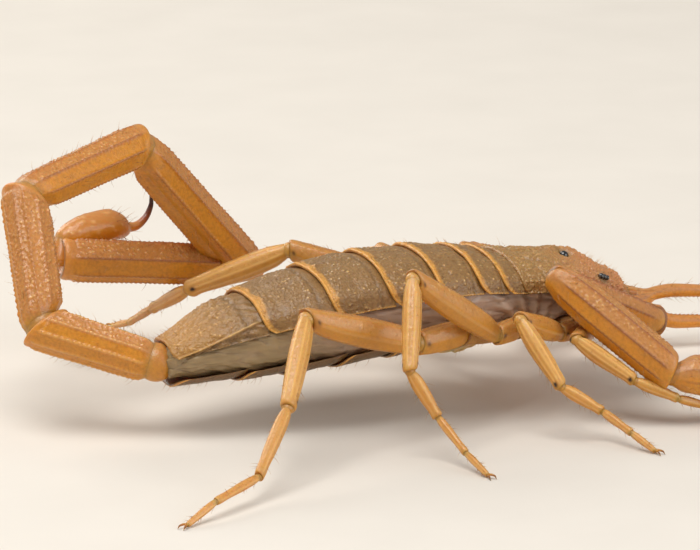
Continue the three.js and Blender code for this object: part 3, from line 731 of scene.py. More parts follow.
def plant_on_plate(base, number, salt, length, lean, where):
    """Remembers roots for bristles, scattered over the part of a plate's outer face that where marks."""
    rng = np.random.default_rng(salt)
    rows, columns = np.nonzero(where & (base.upper > 0.9))
    chosen = rng.choice(len(rows), number)
    rows, columns = rows[chosen], columns[chosen]
    lean = np.array(lean)
    heading = unit(base.normals[rows, columns] + lean + 0.25 * rng.normal(size=(number, 3)))
    along = np.broadcast_to(unit(lean), heading.shape)
    remember_bristles(base, rows, columns, heading, along, length * rng.uniform(0.5, 1.2, number))


def remember_bristles(base, rows, columns, heading, along, lengths):
    unwrap = np.stack([columns / base.points.shape[1], rows / base.points.shape[0]], -1)
    BRISTLE_BEDS.append((base.points[rows, columns], heading, along, lengths, unwrap))


def bristle_mesh():
    """All bristles as one joined mesh of thin curved shafts, each with a patch of its own on the unwrap."""
    levels, sides = np.array((0.0, 0.35, 0.7, 1.0)), 3
    across_beds = math.ceil(math.sqrt(len(BRISTLE_BEDS)))
    t = levels[None, :, None]
    points, tones, unwraps = [], [], []
    for bed, (roots, heading, along, lengths, unwrap) in enumerate(BRISTLE_BEDS):
        heading, along = heading[:, None], along[:, None]
        curve = roots[:, None] + lengths[:, None, None] * (heading * t + along * BRISTLE_BEND * t * t)
        curve = curve - heading * BRISTLE_ROOT * (t == 0)
        side = unit(np.cross(heading, UP + 0.3 * along))
        other = np.cross(heading, side)
        girth = relief("bristle_girth") * (1 - 0.85 * t)
        shaft = [curve + girth * (side * math.cos(a) + other * math.sin(a)) for a in circle(sides)]
        points.append(np.stack(shaft, 2))
        tones.append(np.broadcast_to(t, points[-1].shape[:3]))
        tile = np.array((bed % across_beds, bed // across_beds))
        at = (tile + 0.02 + 0.94 * unwrap) / across_beds
        corner = np.stack(np.meshgrid(np.arange(sides) / sides, levels), -1)
        unwraps.append(at[:, None, None] + PATCH_SIZE * corner[None])
    points, tones, unwraps = (np.concatenate(values) for values in (points, tones, unwraps))
    index = np.arange(tones.size).reshape(tones.shape)
    after = np.roll(index, -1, 2)
    quads = np.stack([index[:, :-1], after[:, :-1], after[:, 1:], index[:, 1:]], -1).reshape(-1, 4)
    caps = np.concatenate([index[:, 0, ::-1], index[:, -1]])
    mesh = bpy.data.meshes.new("bristles")
    mesh.from_pydata(packed_frame(points.reshape(-1, 3)).tolist(), [], quads.tolist() + caps.tolist())
    mesh.shade_smooth()
    mesh.attributes.new("tone", "FLOAT", "POINT").data.foreach_set("value", tones.ravel().astype(np.float32))
    corners = np.zeros(len(mesh.loops), np.int32)
    mesh.loops.foreach_get("vertex_index", corners)
    unwrap = mesh.uv_layers.new(name="OFBake")
    unwrap.data.foreach_set("uv", unwraps.reshape(-1, 2)[corners].astype(np.float32).ravel())
    return mesh


# ---------------------------------------------------------------- dressing

def dress_keeled(shape, base, angles, salt, keel, grain=0.03, width=0.07, bead=0.24, spacing=0.2,
                 clear=(0.05, 0.13, 0.90, 0.96), line=1.0, groove=0.0, ends=0.0, all_round=0.25,
                 polished=(180, 180)):
    """Adds a keeled, grainy limb part with smooth ends.

    clear holds the places where keels and grains start, are full, begin to fade and end. all_round is the
    share of grain on the lower faces. polished is a span of angles from the back with hardly any grain, which
    takes the glow colour as painted light coming through the cuticle.
    """
    middle = window(base.place, *clear)
    height, lines = ridges(base, angles, width, bead)
    topside = step(0.2, 0.5, base.normals[..., 2])
    low, high = polished
    shiny = window(np.abs(base.back), low, low + 5, high - 5, high)
    rough = grains(base.points, spacing, salt) * middle * (all_round + (1 - all_round) * topside)
    rough = rough * (1 - 0.92 * shiny)
    trough = groove * bell(base.back, 16) * middle
    bare = clear[3]
    tone = ends * window(base.place, bare - 0.02, bare + 0.02, 0.985, 1.0)
    tone = tone - 0.55 * step(0.988, 1.0, base.place)
    shape.coat(base, keel * height * middle + grain * rough - trough, keel=lines * middle * line, grain=rough,
               glow=np.maximum(underlit(base.normals), 0.9 * shiny), tone=tone)


TAIL_KEELS = ((36, 70, 104, 136, 164), (36, 72, 106, 140, 165), (36, 78, 120, 160), (38, 80, 126, 162),
              (46, 104, 152, 180))
TAIL_LINES = (-0.5, 0.30, 0.70, 0.65, 0.75)        # how dark the keels are; below 0 they are pale
TAIL_GRAIN_ALL_ROUND = (0.15, 0.75, 0.12, 0.12, 0.12)
TAIL_POLISHED = ((72, 134), (180, 180), (78, 120), (-9, 80), (104, 152))    # a smooth span on each ring, painted with the glow colour
TAIL_PROFILE = (                # place along a ring and share of its full size
    (-0.04, 0.3), (-0.02, 0.52), (0.01, 0.66), (0.045, 0.78), (0.085, 0.90), (0.14, 0.96), (0.3, 0.985),
    (0.6, 1.0), (0.85, 1.035), (0.915, 1.03), (0.94, 0.985), (0.965, 0.99), (0.99, 0.93), (1.0, 0.80),
    (0.985, 0.60), (0.965, 0.3))


def tail_chain():
    lengths, _, _, headings, rises = zip(*TAIL)
    points = chain(TAIL_ROOT, headings, rises, lengths)
    return points, directions(points)


def tail_back(way):
    """The way that the back of a tail part which runs along way faces, inside the curl."""
    return np.cross(aim(*TAIL_CURL), way)


def make_tail_rings():
    points, ways = tail_chain()
    for number, (length, half, tall, _, _) in enumerate(TAIL):
        base = sweep(points[number:number + 2], scaled(TAIL_PROFILE, half, tall), int(length * 24), 150,
                     top=tail_back(ways[number]) if number else FIRST_RING_BACK,
                     corners=TAIL_KEELS[number], lean_limit=0.8, **neighbours(ways, number))
        shape = Shape()
        dress_keeled(shape, base, TAIL_KEELS[number], 11 + number, keel=relief("keel_height"),
                     grain=relief("grain_height"), groove=0.10, ends=0.5, line=TAIL_LINES[number],
                     all_round=TAIL_GRAIN_ALL_ROUND[number], polished=TAIL_POLISHED[number])
        shape.ball(points[number], 0.80 * half, tone=0.35)
        plant(base, 70, 31 + number, 0.42, lean=0.4)
        shape.build(f"tail_ring_{number + 1}", "tail_shell", "tail_amber", f"metasoma_{number + 1}")


def make_sting():
    points, ways = tail_chain()
    back = tail_back(ways[-1])
    start = points[-1] + back * STING["lift"]
    along = aim(STING["heading"], STING["rise"])
    bulb_end = start + along * STING["length"]
    side = unit(np.cross(UP, along))
    top = np.cross(along, side)
    steps = STING["spike_steps"]
    path = [start, bulb_end]
    for number in range(steps):
        turn = math.radians(STING["curl"] * (number + 0.5) / steps)
        path.append(path[-1] + (along * math.cos(turn) + top * math.sin(turn)) * STING["spike"] / steps)
    half, tall, arch, spike = STING["half"], STING["tall"], STING["arch"], STING["spike_half"]
    rows = [(-0.04, 0.2, 0.2), (0, 0.40, 0.40, 0, 0.05), (0.05, 0.50, 0.48, 0, 0.12),
            (0.14, 0.66, 0.64, 0, 0.5 * arch), (0.3, 0.94 * half, 0.94 * tall, 0, 0.85 * arch),
            (0.55, half, tall, 0, arch), (0.78, 0.74 * half, 0.78 * tall, 0, 0.62 * arch),
            (0.93, 0.44 * half, 0.46 * tall, 0, 0.25 * arch), (1.0, spike * 1.05, spike * 1.05, 0, 0.08)]
    rows += scaled([(1 + number, 1 - 0.14 * number) for number in range(1, steps)], spike, spike)
    rows.append((1 + steps, 0.025, 0.025))
    base = sweep(path, rows, 220, 72, side=side)
    reach = base.place * (1 + steps)
    rough = grains(base.points, 0.2, 61, 0.25) * (1 - step(0.6, 1.0, reach))
    shape = Shape()
    shape.coat(base, 0.03 * rough, grain=rough, tone=step(0.95, 6.2, reach) ** 0.8)
    neck = sweep([points[-1] - 0.25 * back, start + 0.25 * along + 0.05 * back],
                 scaled(((-0.1, 0.2), (0.0, 0.42), (0.5, 0.46), (1.0, 0.42), (1.1, 0.2)), 1, 1), 30, 40,
                 top=-along)
    shape.coat(neck, glow=underlit(neck.normals) + 0.3, tone=0.12)
    plant(base, 26, 67, 0.5, high=0.13, lean=0.2)
    shape.build("sting", "sting_shell", "amber", "telson")


def leg_chain(side_name, number):
    hip = mirrored(LEG_HIPS[number], SIDES[side_name])
    headings, rises = LEG_POSES[side_name][number]
    lengths = LEG_LENGTHS[number]
    points = chain(hip, headings[:4], rises, lengths[:4])
    heel = math.degrees(math.asin((ANKLE_HEIGHT - points[-1][2]) / lengths[4]))
    toe = math.degrees(math.asin((TOE_HEIGHT - ANKLE_HEIGHT) / lengths[5]))
    return points + chain(points[-1], headings[4:], (heel, toe), lengths[4:])[1:]


STRIPE_WIDTH = 0.045


def dress_leg(shape, base, salt, spots=(), stripes=(62, 112), edge=0.028, grain=0.018, line=0.6, straw=0.0):
    """Adds a leg part: a beaded upper edge, a finely toothed lower edge and pale stripes along its sides.

    spots are places with a dark spot on both sides, stripes are angles from the back, and straw is how
    straw-coloured the part is.
    """
    middle = window(base.place, 0.03, 0.12, 0.90, 0.97)
    under = underlit(base.normals)
    upper, upper_line = ridges(base, (14,), 0.05, 0.15)
    lower, _ = ridges(base, (172,), 0.05, 0.13)
    pale = sum(bell(around(base, angle), STRIPE_WIDTH) for angle in stripes)
    rough = grains(base.points, 0.15, salt) * middle * (1 - 0.8 * under)
    swelled = edge * (upper + 0.8 * lower) * middle + grain * rough + 0.020 * pale * middle
    # Painted light: faces that look down take the glow colour and lose most of their straw colour.
    tone = straw * (0.35 + 0.65 * pale * middle) * (1 - 0.6 * under) - 0.45 * step(0.985, 1.0, base.place)
    for place in spots:
        away = np.hypot((base.place - place) * base.distance[-1] / base.place[-1], around(base, 88))
        tone = tone - (0.9 + straw) * bell(away, 0.10)
    blush = 0.30 * bell(base.back, 30) * (1 - under)
    shape.coat(base, swelled, keel=(line * upper_line + blush * line - 0.55 * pale) * middle, grain=rough,
               glow=under * 0.9 + 0.1, tone=tone)


def add_claws(shape, tip, along):
    """Two curved claws and a short spine at the end of a foot, with their points on the floor."""
    flat = unit(along * np.array((1, 1, 0)))
    aside = np.cross(UP, flat)
    root, floor = tip - along * 0.1, UP * (tip[2] - 0.02)
    for spread in (-1, 1):
        path = [root, tip + flat * 0.12 + aside * 0.07 * spread + UP * 0.06,
                tip + flat * 0.30 + aside * 0.15 * spread + UP * 0.03,
                tip + flat * 0.42 + aside * 0.17 * spread - floor]
        hook = sweep(path, [(0, 0.05, 0.05), (1, 0.055, 0.055), (2, 0.04, 0.045), (3, 0.01, 0.01)], 16, 10,
                     side=aside)
        shape.coat(hook, glow=0.5, tone=-0.75 * step(0.15, 0.8, hook.place))
    spine = sweep([root, tip + flat * 0.12 - floor], [(0, 0.05, 0.05), (1, 0.012, 0.012)], 8, 8, side=aside)
    shape.coat(spine, glow=0.5, tone=-0.5)


LEG_RINGS = 15                  # per millimetre
LEG_SIDES = (56, 56, 56, 56, 40, 40)
LEG_PARTS = (                   # profile, number and length of the bristles, dressing
    (((-0.15, 0.5), (0.0, 0.85, 0.8), (0.3, 1.0), (0.75, 1.0, 0.95), (0.97, 0.85, 0.8), (1.0, 0.6),
      (0.97, 0.3)),
     0, 0, {"spots": (0.9,), "stripes": (), "grain": 0.022}),
    (((-0.02, 0.35, 0.3), (0.01, 0.60, 0.52), (0.06, 0.78, 0.74), (0.2, 0.95), (0.45, 1.02, 1.04, 0, -0.02),
      (0.72, 1.0, 0.96, 0, -0.02), (0.9, 0.90, 0.80, 0, 0.02), (0.97, 0.82, 0.70, 0, 0.03),
      (1.0, 0.66, 0.54, 0, 0.03), (0.985, 0.35, 0.3)),
     26, 0.34, {"spots": (0.96,), "stripes": (100,)}),
    (((-0.02, 0.3), (0.01, 0.58, 0.52), (0.06, 0.78, 0.72), (0.18, 0.98, 0.96, 0, -0.01),
      (0.38, 1.07, 1.06, 0, -0.02), (0.7, 0.98, 0.92), (0.9, 0.86, 0.78, 0, 0.01), (0.955, 0.86, 0.80),
      (0.99, 0.74, 0.66), (1.0, 0.6, 0.52), (0.985, 0.3)),
     26, 0.36, {"spots": (0.93,), "stripes": (24, 54, 86, 118), "line": 0.25, "straw": 0.85}),
    (((-0.03, 0.3), (0.02, 0.64, 0.6), (0.1, 0.88, 0.84), (0.3, 1.04), (0.6, 0.98, 0.96), (0.85, 0.80, 0.78),
      (0.94, 0.84, 0.82), (0.99, 0.76, 0.72), (1.0, 0.6, 0.55), (0.98, 0.3)),
     22, 0.34, {"stripes": (60, 110), "grain": 0.006, "edge": 0.020, "line": 0.2, "straw": 0.75}),
    (((-0.03, 0.3), (0.02, 0.78, 0.72), (0.12, 1.0, 0.98), (0.35, 1.08), (0.75, 0.92, 0.9),
      (0.92, 0.98, 0.96), (0.98, 0.92, 0.88), (1.0, 0.72, 0.68), (0.985, 0.4)),
     26, 0.26, {"stripes": (90,), "grain": 0.004, "edge": 0.012, "line": 0.15, "straw": 0.75}),
    (((-0.03, 0.3), (0.03, 0.74, 0.7), (0.3, 0.86), (0.8, 0.74, 0.72), (0.97, 0.62, 0.58), (1.0, 0.4)),
     26, 0.22, {"stripes": (90,), "grain": 0.004, "edge": 0.010, "line": 0.15, "straw": 0.75}))
LEG_BALLS = {                   # built with each part: joint, part whose half height it goes by, share, marks
    1: ((1, 0, 0.62, {}), (2, 2, 0.66, {"tone": 0.2})),
    2: ((3, 3, 0.74, {"rings": 14, "sides": 20, "tone": -0.1}),),
    3: ((4, 4, 0.78, {"rings": 12, "sides": 16, "glow": 0.6}),),
    4: ((5, 5, 0.62, {"rings": 12, "sides": 16}),)}
LEG_PIECES = {                  # name, slot and replaced solid of the piece that ends with each part
    1: ("thigh", "amber", "femur"), 2: ("knee", "pale_amber", "patella"), 5: ("shin", "pale_amber", "foot")}


def make_leg(side_name, number):
    points = leg_chain(side_name, number)
    ways = directions(points)
    halves = (*LEG_TALL[number], TARSUS_HALF, TARSUS_HALF)
    salt = 100 + 20 * number + (7 if side_name == "left" else 0)
    node = f"{side_name}_leg_{number + 1}"
    shape = Shape()
    for index, (profile, bristles, length, dressing) in enumerate(LEG_PARTS):
        half = halves[index] * (1 if index else TROCHANTER_SWELL)
        rings = max(40, int(np.linalg.norm(points[index + 1] - points[index]) * LEG_RINGS))
        rows = scaled(profile, half * LEG_FLATNESS, half)
        base = sweep(points[index:index + 2], rows, rings, LEG_SIDES[index], corners=(40, 90, 140),
                     flatness=0.45, lean_limit=0.4 * half, **neighbours(ways, index))
        dress_leg(shape, base, salt + max(0, 2 * index - 1), **dressing)
        if bristles:
            plant(base, bristles, salt + 2 * index, length)
        for joint, like, share, marks in LEG_BALLS.get(index, ()):
            shape.ball(points[joint], share * halves[like], **marks)
        if index == len(ways) - 1:
            add_claws(shape, points[-1], ways[-1])
        if index in LEG_PIECES:
            name, slot, solid = LEG_PIECES[index]
            shape.build(f"{node}_{name}", "leg_shell", slot, f"{node}_{solid}")
            shape = Shape()


ARM_KEELS = {"trochanter": (45, 135), "femur": (42, 84, 138), "patella": (30, 72, 112, 150),
             "hand": (24, 62, 100, 142)}
ARM_PARTS = (                   # name, solid, rings, profile, number and length of bristles, balls, dressing
    ("hip", "trochanter", 64,
     ((-0.25, 0.3), (-0.1, 0.6), (0.15, 0.88), (0.45, 1.0), (0.8, 1.02), (1.0, 0.90), (1.1, 0.72),
      (1.17, 0.45), (1.19, 0.2)), 24, 0.45, (),
     {"grain": 0.05, "spacing": 0.24, "bead": 0.3, "clear": (0.0, 0.1, 0.95, 1.1), "line": 0.7}),
    ("upper_arm", "femur", 150,
     ((-0.03, 0.35), (0.0, 0.6), (0.05, 0.82), (0.16, 0.95), (0.5, 1.0), (0.88, 1.0), (0.94, 0.95),
      (0.975, 0.85), (0.998, 0.66), (1.006, 0.35)), 50, 0.45, ((1, 0.60, 0.0), (2, 0.72, 0.1)), {}),
    ("forearm", "patella", 165,
     ((-0.02, 0.3), (0.0, 0.5), (0.04, 0.70), (0.13, 0.90), (0.35, 1.0), (0.85, 0.98), (0.95, 0.94),
      (0.99, 0.82), (1.0, 0.62), (0.99, 0.35)), 60, 0.42, ((3, 0.58, 0.25),), {}))
ARM_KEEL_HEIGHT = 0.06
BITE_WIDTH = 0.06


def finger_gape(t):
    return 0.2 + FINGER_GAPE * math.sin(math.pi * min(1, t + 0.12))


def finger_rows(way, side):
    """Rows for sweep of a finger that opens away from the other, upward for way 1 and downward for -1."""
    wide, tall = ARM_HALF["finger"]
    rows = []
    for t in (0.12, 0.3, 0.5, 0.7, 0.85, 0.95, 1.0):
        slim = 1 - 0.62 * t ** 2 - (0.22 if t == 1.0 else 0)
        hook = -way * 0.16 * max(0, t - 0.85) / 0.15
        rows.append((1 + t, wide * slim, tall * slim, way * side * finger_gape(t) * 0.5,
                     way * finger_gape(t) + hook))
    return rows


def bite(base, angle):
    """Marks of a finger's biting edge and of the fine teeth on it, both 0 to 1."""
    biting = bell(around(base, angle), BITE_WIDTH) * step(1.15, 1.3, base.place * 2)
    return biting, biting * ripple(base.distance / 0.18)


def make_arm(side_name):
    side = SIDES[side_name]
    headings, rises = ARM_POSES[side_name]
    points = chain(mirrored(ARM_HIP, side), headings, rises, ARM_LENGTHS)
    ways = directions(points)
    salt = 400 if side > 0 else 440
    node = f"pedipalp_{side_name}"
    for index, (name, solid, rings, profile, bristles, length, balls, dressing) in enumerate(ARM_PARTS):
        base = sweep(points[index:index + 2], scaled(profile, *ARM_HALF[solid]), rings, 104,
                     corners=ARM_KEELS[solid], flatness=0.75, lean_limit=0.45, **neighbours(ways, index))
        shape = Shape()
        dress_keeled(shape, base, ARM_KEELS[solid], salt + 2 * index, keel=ARM_KEEL_HEIGHT, **dressing)
        plant(base, bristles, salt + 2 * index + 1, length)
        for joint, share, tone in balls:
            shape.ball(points[joint], share * ARM_HALF[solid][1], tone=tone)
        shape.build(f"{node}_{name}", "arm_shell", "amber", f"{node}_{solid}")

    palm = scaled(((0.0, 0.35), (0.02, 0.50), (0.08, 0.66), (0.2, 0.88), (0.5, 1.0), (0.85, 0.82, 0.86),
                   (1.0, 0.55, 0.62, side * 0.10, 0.16)), *ARM_HALF["hand"])
    base = sweep(points[3:], palm + finger_rows(1, side), 220, 88, corners=ARM_KEELS["hand"], flatness=0.25,
                 before=ways[2])
    reach = base.place * 2
    biting, teeth = bite(base, 180)
    _, lines = ridges(base, ARM_KEELS["hand"], 0.07, 0.3)
    hand = window(reach, 0.05, 0.2, 0.9, 1.15)
    rough = grains(base.points, 0.22, salt + 6, 0.6) * hand
    shape = Shape()
    shape.coat(base, 0.05 * teeth + 0.02 * lines * hand + 0.016 * rough, keel=lines * hand * 0.6, grain=rough,
               tone=0.7 * biting + 0.35 * step(1.85, 2.0, reach))
    plant(base, 110, salt + 7, 0.42)
    shape.build(f"{node}_fixed_claw", "arm_shell", "amber", f"{node}_hand")

    root = [(0.84, 0.1, 0.1, -side * 0.2, -0.38), (0.9, *ARM_HALF["finger"], -side * 0.2, -0.42)]
    base = sweep(points[3:], root + finger_rows(-1, side), 150, 56)
    biting, teeth = bite(base, 0)
    shape = Shape()
    shape.coat(base, 0.05 * teeth, tone=0.7 * biting + 0.35 * step(1.85, 2.0, base.place * 2))
    plant(base, 60, salt + 8, 0.36)
    shape.build(f"{node}_moving_claw", "arm_shell", "amber", f"{node}_moving_finger")


# ---------------------------------------------------------------- trunk pieces

def make_skin():
    x = np.linspace(TRUNK_X[0] + 0.05, 5.3, 260)[:, None]
    drawn_in = (1 - step(TRUNK_X[0], TRUNK_X[0] + 0.7, x)) ** 3
    points = trunk_point(x, circle(160)[None, :], -0.04 - 0.55 * drawn_in)
    fine = swell(points * np.array((0.25, 1.0, 1.5)), 0.30, 5)
    fold = swell(points * np.array((1.0, 0.3, 0.6)), 1.1, 6)
    fans = np.sin(14 * np.arctan2(points[..., 2] - 3.7, points[..., 0] - 0.5))
    fans = fans * window(x, -3.2, -0.6, 2.2, 3.2)
    crease = bell(swell(points * np.array((0.3, 1.0, 1.3)), 0.8, 7), 0.13)
    shape = Shape()
    shape.coat(SimpleNamespace(points=points, normals=grid_normals(points)),
               relief("wrinkle_depth") * (0.5 * fine + 0.7 * fold + 1.0 * fans - 0.9 * crease),
               keel=np.clip(fans, 0, 1) * 0.5, grain=np.clip(fine, 0, 1),
               # tone: olive towards the tail; below 0, painted shade under the front of the head and in the
               # creases.
               tone=0.75 * step(-7.0, -13.0, x) - 0.9 * step(4.0, 4.9, x) - 0.17 * crease)
    shape.build("body_skin", "soft_skin", "membrane", "trunk")


def make_carapace():
    def front(v):
        return CARAPACE_FRONT - 0.35 * np.abs(v) ** 5 - 0.10 * bell(v, 0.14)

    def rear(v):
        return JOINT_GAP / 2 - 0.12 + 0.30 * np.abs(v) ** 8

    def lift(u, v):
        return (0.43 - 0.05 * step(0.85, 1.0, 1 - u)) * (1 - 0.45 * step(0.75, 1.0, np.abs(v)))

    base = plate(front, rear, 90, BACK_SPAN, lift, 0.22, 200, 220)
    x, y = base.points[..., 0], np.abs(base.points[..., 1])
    hill = EYE_HILL["height"] * np.exp(-((x - EYE_HILL["x"]) / EYE_HILL["length"]) ** 2
                                       - (y / EYE_HILL["width"]) ** 4)
    brow = 0.07 * bell(y - 0.62, 0.10) * bell(x - EYE_HILL["x"], 0.7)
    middle_furrow = 0.12 * bell(y, 0.09) * window(x, 0.3, 0.7, 2.0, 2.6)
    front_furrow = 0.06 * bell(y, 0.12) * step(3.8, 4.3, x)
    rear_furrow = 0.08 * bell(x - 0.55 - 0.25 * y, 0.14) * step(0.3, 0.8, y)
    side_way = y - 1.15 - 0.55 * np.sin((x - 0.9) * 1.1)
    side_furrow = 0.10 * bell(side_way, 0.14) * window(x, 0.6, 1.1, 2.9, 3.5)
    rim = bell(front(base.v) - x, 0.12) + bell(1 - np.abs(base.v), 0.03)
    coarse = grains(base.points, 0.23, 71, 0.6)
    fine = grains(base.points, 0.12, 75, 0.8)
    rough = np.maximum(coarse, 0.6 * fine) * base.raised

    def near(eye, width):
        ways = (base.points - mirrored(eye, side) for side in (1, -1))
        return sum(bell(np.linalg.norm(way, axis=-1), width) for way in ways)

    eyes, corners = near(MEDIAN_EYE, 0.26), near(LATERAL_EYE, 0.34)
    smudge = 0.8 * bell(x - 2.55, 0.45) * bell(y - 0.42, 0.30) * step(0.35, 0.65, fine + 0.4 * coarse)
    height = hill + brow - middle_furrow - front_furrow - rear_furrow - side_furrow + 0.05 * rim
    height = height * base.raised
    height = height + relief("grain_height") * 1.6 * rough * (1 + 0.8 * rim + 0.8 * step(2.5, 4.0, x))
    socket = np.clip(1.6 * eyes, 0, 1) * base.raised
    height = height * (1 - socket) - 0.22 * socket
    tone = step(1.2, 4.6, x) * 0.95 - np.clip(1.9 * eyes + 1.3 * corners + smudge, 0, 1.6)
    shape = Shape()
    shape.coat(base, height, grain=rough * 0.8, glow=underlit(base.normals) * 0.6, tone=tone,
               keel=np.clip(middle_furrow + side_furrow, 0, 1) * 2.0)
    shape.build("carapace_shell", "head_shell", "amber", "carapace")
    plant_on_plate(base, 70, 77, 0.35, (0.6, 0, 0.2), base.u < 0.2)


def make_back_plate(number):
    last = number == len(BACK_MARGINS) - 1
    start, edge = BACK_MARGINS[number - 1:number + 1]

    def front(v):
        return start + 0.28 + 0 * v

    def rear(v):
        return edge + JOINT_GAP / 2 - (0.12 if last else 0.05) + (0.30 if last else 0.55) * np.abs(v) ** 7

    def lift(u, v):
        raised = 0.18 + 0.13 * step(0, 0.25, u) + 0.09 * step(0.2, 1.0, u) * (1 - last * step(0.3, 1.0, u))
        return (raised - last * 0.20 * step(0.35, 1.0, u)) * (1 - 0.55 * step(0.70, 1.0, np.abs(v)))

    length = start - edge
    base = plate(front, rear, 90, BACK_SPAN, lift, 0.15, max(44, int(length * 30)), 200)
    x, y = base.points[..., 0], base.points[..., 1]
    to_rear = x - rear(base.v)
    to_side = (1 - np.abs(base.v)) * 4.0
    rear_part = step(0.10, 0.30, base.u)
    coarse = grains(base.points, 0.19, 80 + number, 0.4)
    fine = grains(base.points, 0.11, 90 + number, 0.7)
    rough = np.maximum(coarse, 0.55 * fine) * base.raised * (0.25 + 0.75 * rear_part)
    beads = 0.2 + 0.8 * ripple(x / 0.22)
    keel = bell(y, 0.07) * rear_part * beads
    if last:
        for offset in (0.95, 1.75):
            away = np.abs(y) - offset * (0.55 + 0.45 * (x - edge) / length)
            keel = keel + bell(away, 0.07) * window(base.u, 0.25, 0.45, 0.93, 0.98) * beads
        below_fold = np.abs(base.v) - 0.97 + 0.30 * (1 - base.u)
        keel = keel + 1.5 * bell(below_fold, 0.022) * step(0.05, 0.2, base.u)
    crease = bell(base.u - 0.24, 0.03)
    dents = swell(base.points, 1.3, 95 + number)
    scars = np.clip(swell(base.points * np.array((1.0, 1.0, 0.6)), 0.75, 105 + number) - 0.25, 0, 1)
    lip = bell(to_rear, 0.08) + 0.8 * bell(to_side, 0.08)
    height = 0.05 * keel - 0.03 * crease + 0.025 * dents - 0.035 * scars * rear_part + 0.022 * lip
    height = height * base.raised + relief("grain_height") * 1.3 * rough
    if last:
        flap = step(0.0, 0.04, below_fold)
        pleats = swell(base.points * np.array((0.4, 1.0, 1.6)), 0.35, 99)
        embossed = swell(base.points * np.array((1.0, 1.3, 1.3)), 0.55, 98) * (1 - step(0.45, 0.70, base.u))
        height = height + base.raised * (0.035 * embossed * (1 - flap) - flap * (0.05 - 0.05 * pleats))
        rough = rough * (1 - flap)
    band = (0.17 + 0.05 * dents) * min(1.25, 0.45 + length / 4)
    gold = np.maximum(1 - step(band, band + 0.14, to_rear), 0.8 - 0.8 * step(0.04, 0.12, to_side))
    gold = gold * (0.3 if last else 1.0) * (1 - 0.35 * (1 - fine) * step(0.05, 0.1, to_rear))
    if last:
        gold = np.maximum(gold, 0.38 * step(0.1, 0.9, base.u) - 0.25 * flap)
        keel = keel * 1.6
    shape = Shape()
    # Gold hind margins; the crease across the plate is darkened as painted shade.
    tone = (gold - 0.25 * crease) * base.raised + 0.5 * (1 - base.raised) * step(0.9, 1.0, base.u)
    shape.coat(base, height, grain=rough, glow=underlit(base.normals) * 0.5, tone=tone,
               keel=(-0.5 if last else 0.35) * keel * base.raised * (1 - gold))
    shape.build(f"back_plate_{number}", "back_shell", "back_olive", f"tergite_{number}")
    plant_on_plate(base, 22, 115 + number, 0.28, (-0.7, 0, 0.2), base.u > 0.85)


def make_belly_plates():
    shape = Shape()
    for number in range(1, len(BELLY_MARGINS)):
        start, edge = BELLY_MARGINS[number - 1], BELLY_MARGINS[number]

        def front(v):
            return start + 0.22 + 0 * v

        def rear(v):
            return edge + 0.02 + 0.45 * np.abs(v) ** 6

        def lift(u, v):
            return 0.12 + 0.10 * step(0, 0.3, u) + 0.09 * step(0.3, 1.0, u) + 0 * v

        base = plate(front, rear, 270, BELLY_SPAN, lift, 0.11, 50, 110)
        to_rear = base.points[..., 0] - rear(base.v)
        last = number == len(BELLY_MARGINS) - 1
        slit = bell(np.abs(base.v) - 0.52, 0.05) * bell(base.u - 0.45, 0.045) * (not last)
        keel = bell(np.abs(base.points[..., 1]) - 0.55, 0.08) * step(0.3, 0.5, base.u) * last
        fine = grains(base.points, 0.16, 130 + number, 0.5)
        height = 0.03 * keel - 0.06 * slit + 0.012 * swell(base.points, 0.9, 140 + number) + 0.010 * fine
        gold = 1 - step(0.05, 0.14, to_rear)
        shape.coat(base, height * base.raised, grain=0.5 * fine * base.raised, glow=0.35, keel=0.4 * keel,
                   tone=0.9 * (gold - slit) * base.raised)
        plant_on_plate(base, 26, 150 + number, 0.3, (-0.6, 0, -0.2), base.u > 0.4)
    shape.build("belly_plates", "belly_shell", "belly_olive", "sternites")


COXA_PROFILE = ((-0.03, 0.3, 0.25), (0, 0.7, 0.55), (0.3, 0.92, 0.8), (0.75, 1.0), (0.93, 0.96, 0.95),
                (1.0, 0.84, 0.85), (0.97, 0.4))


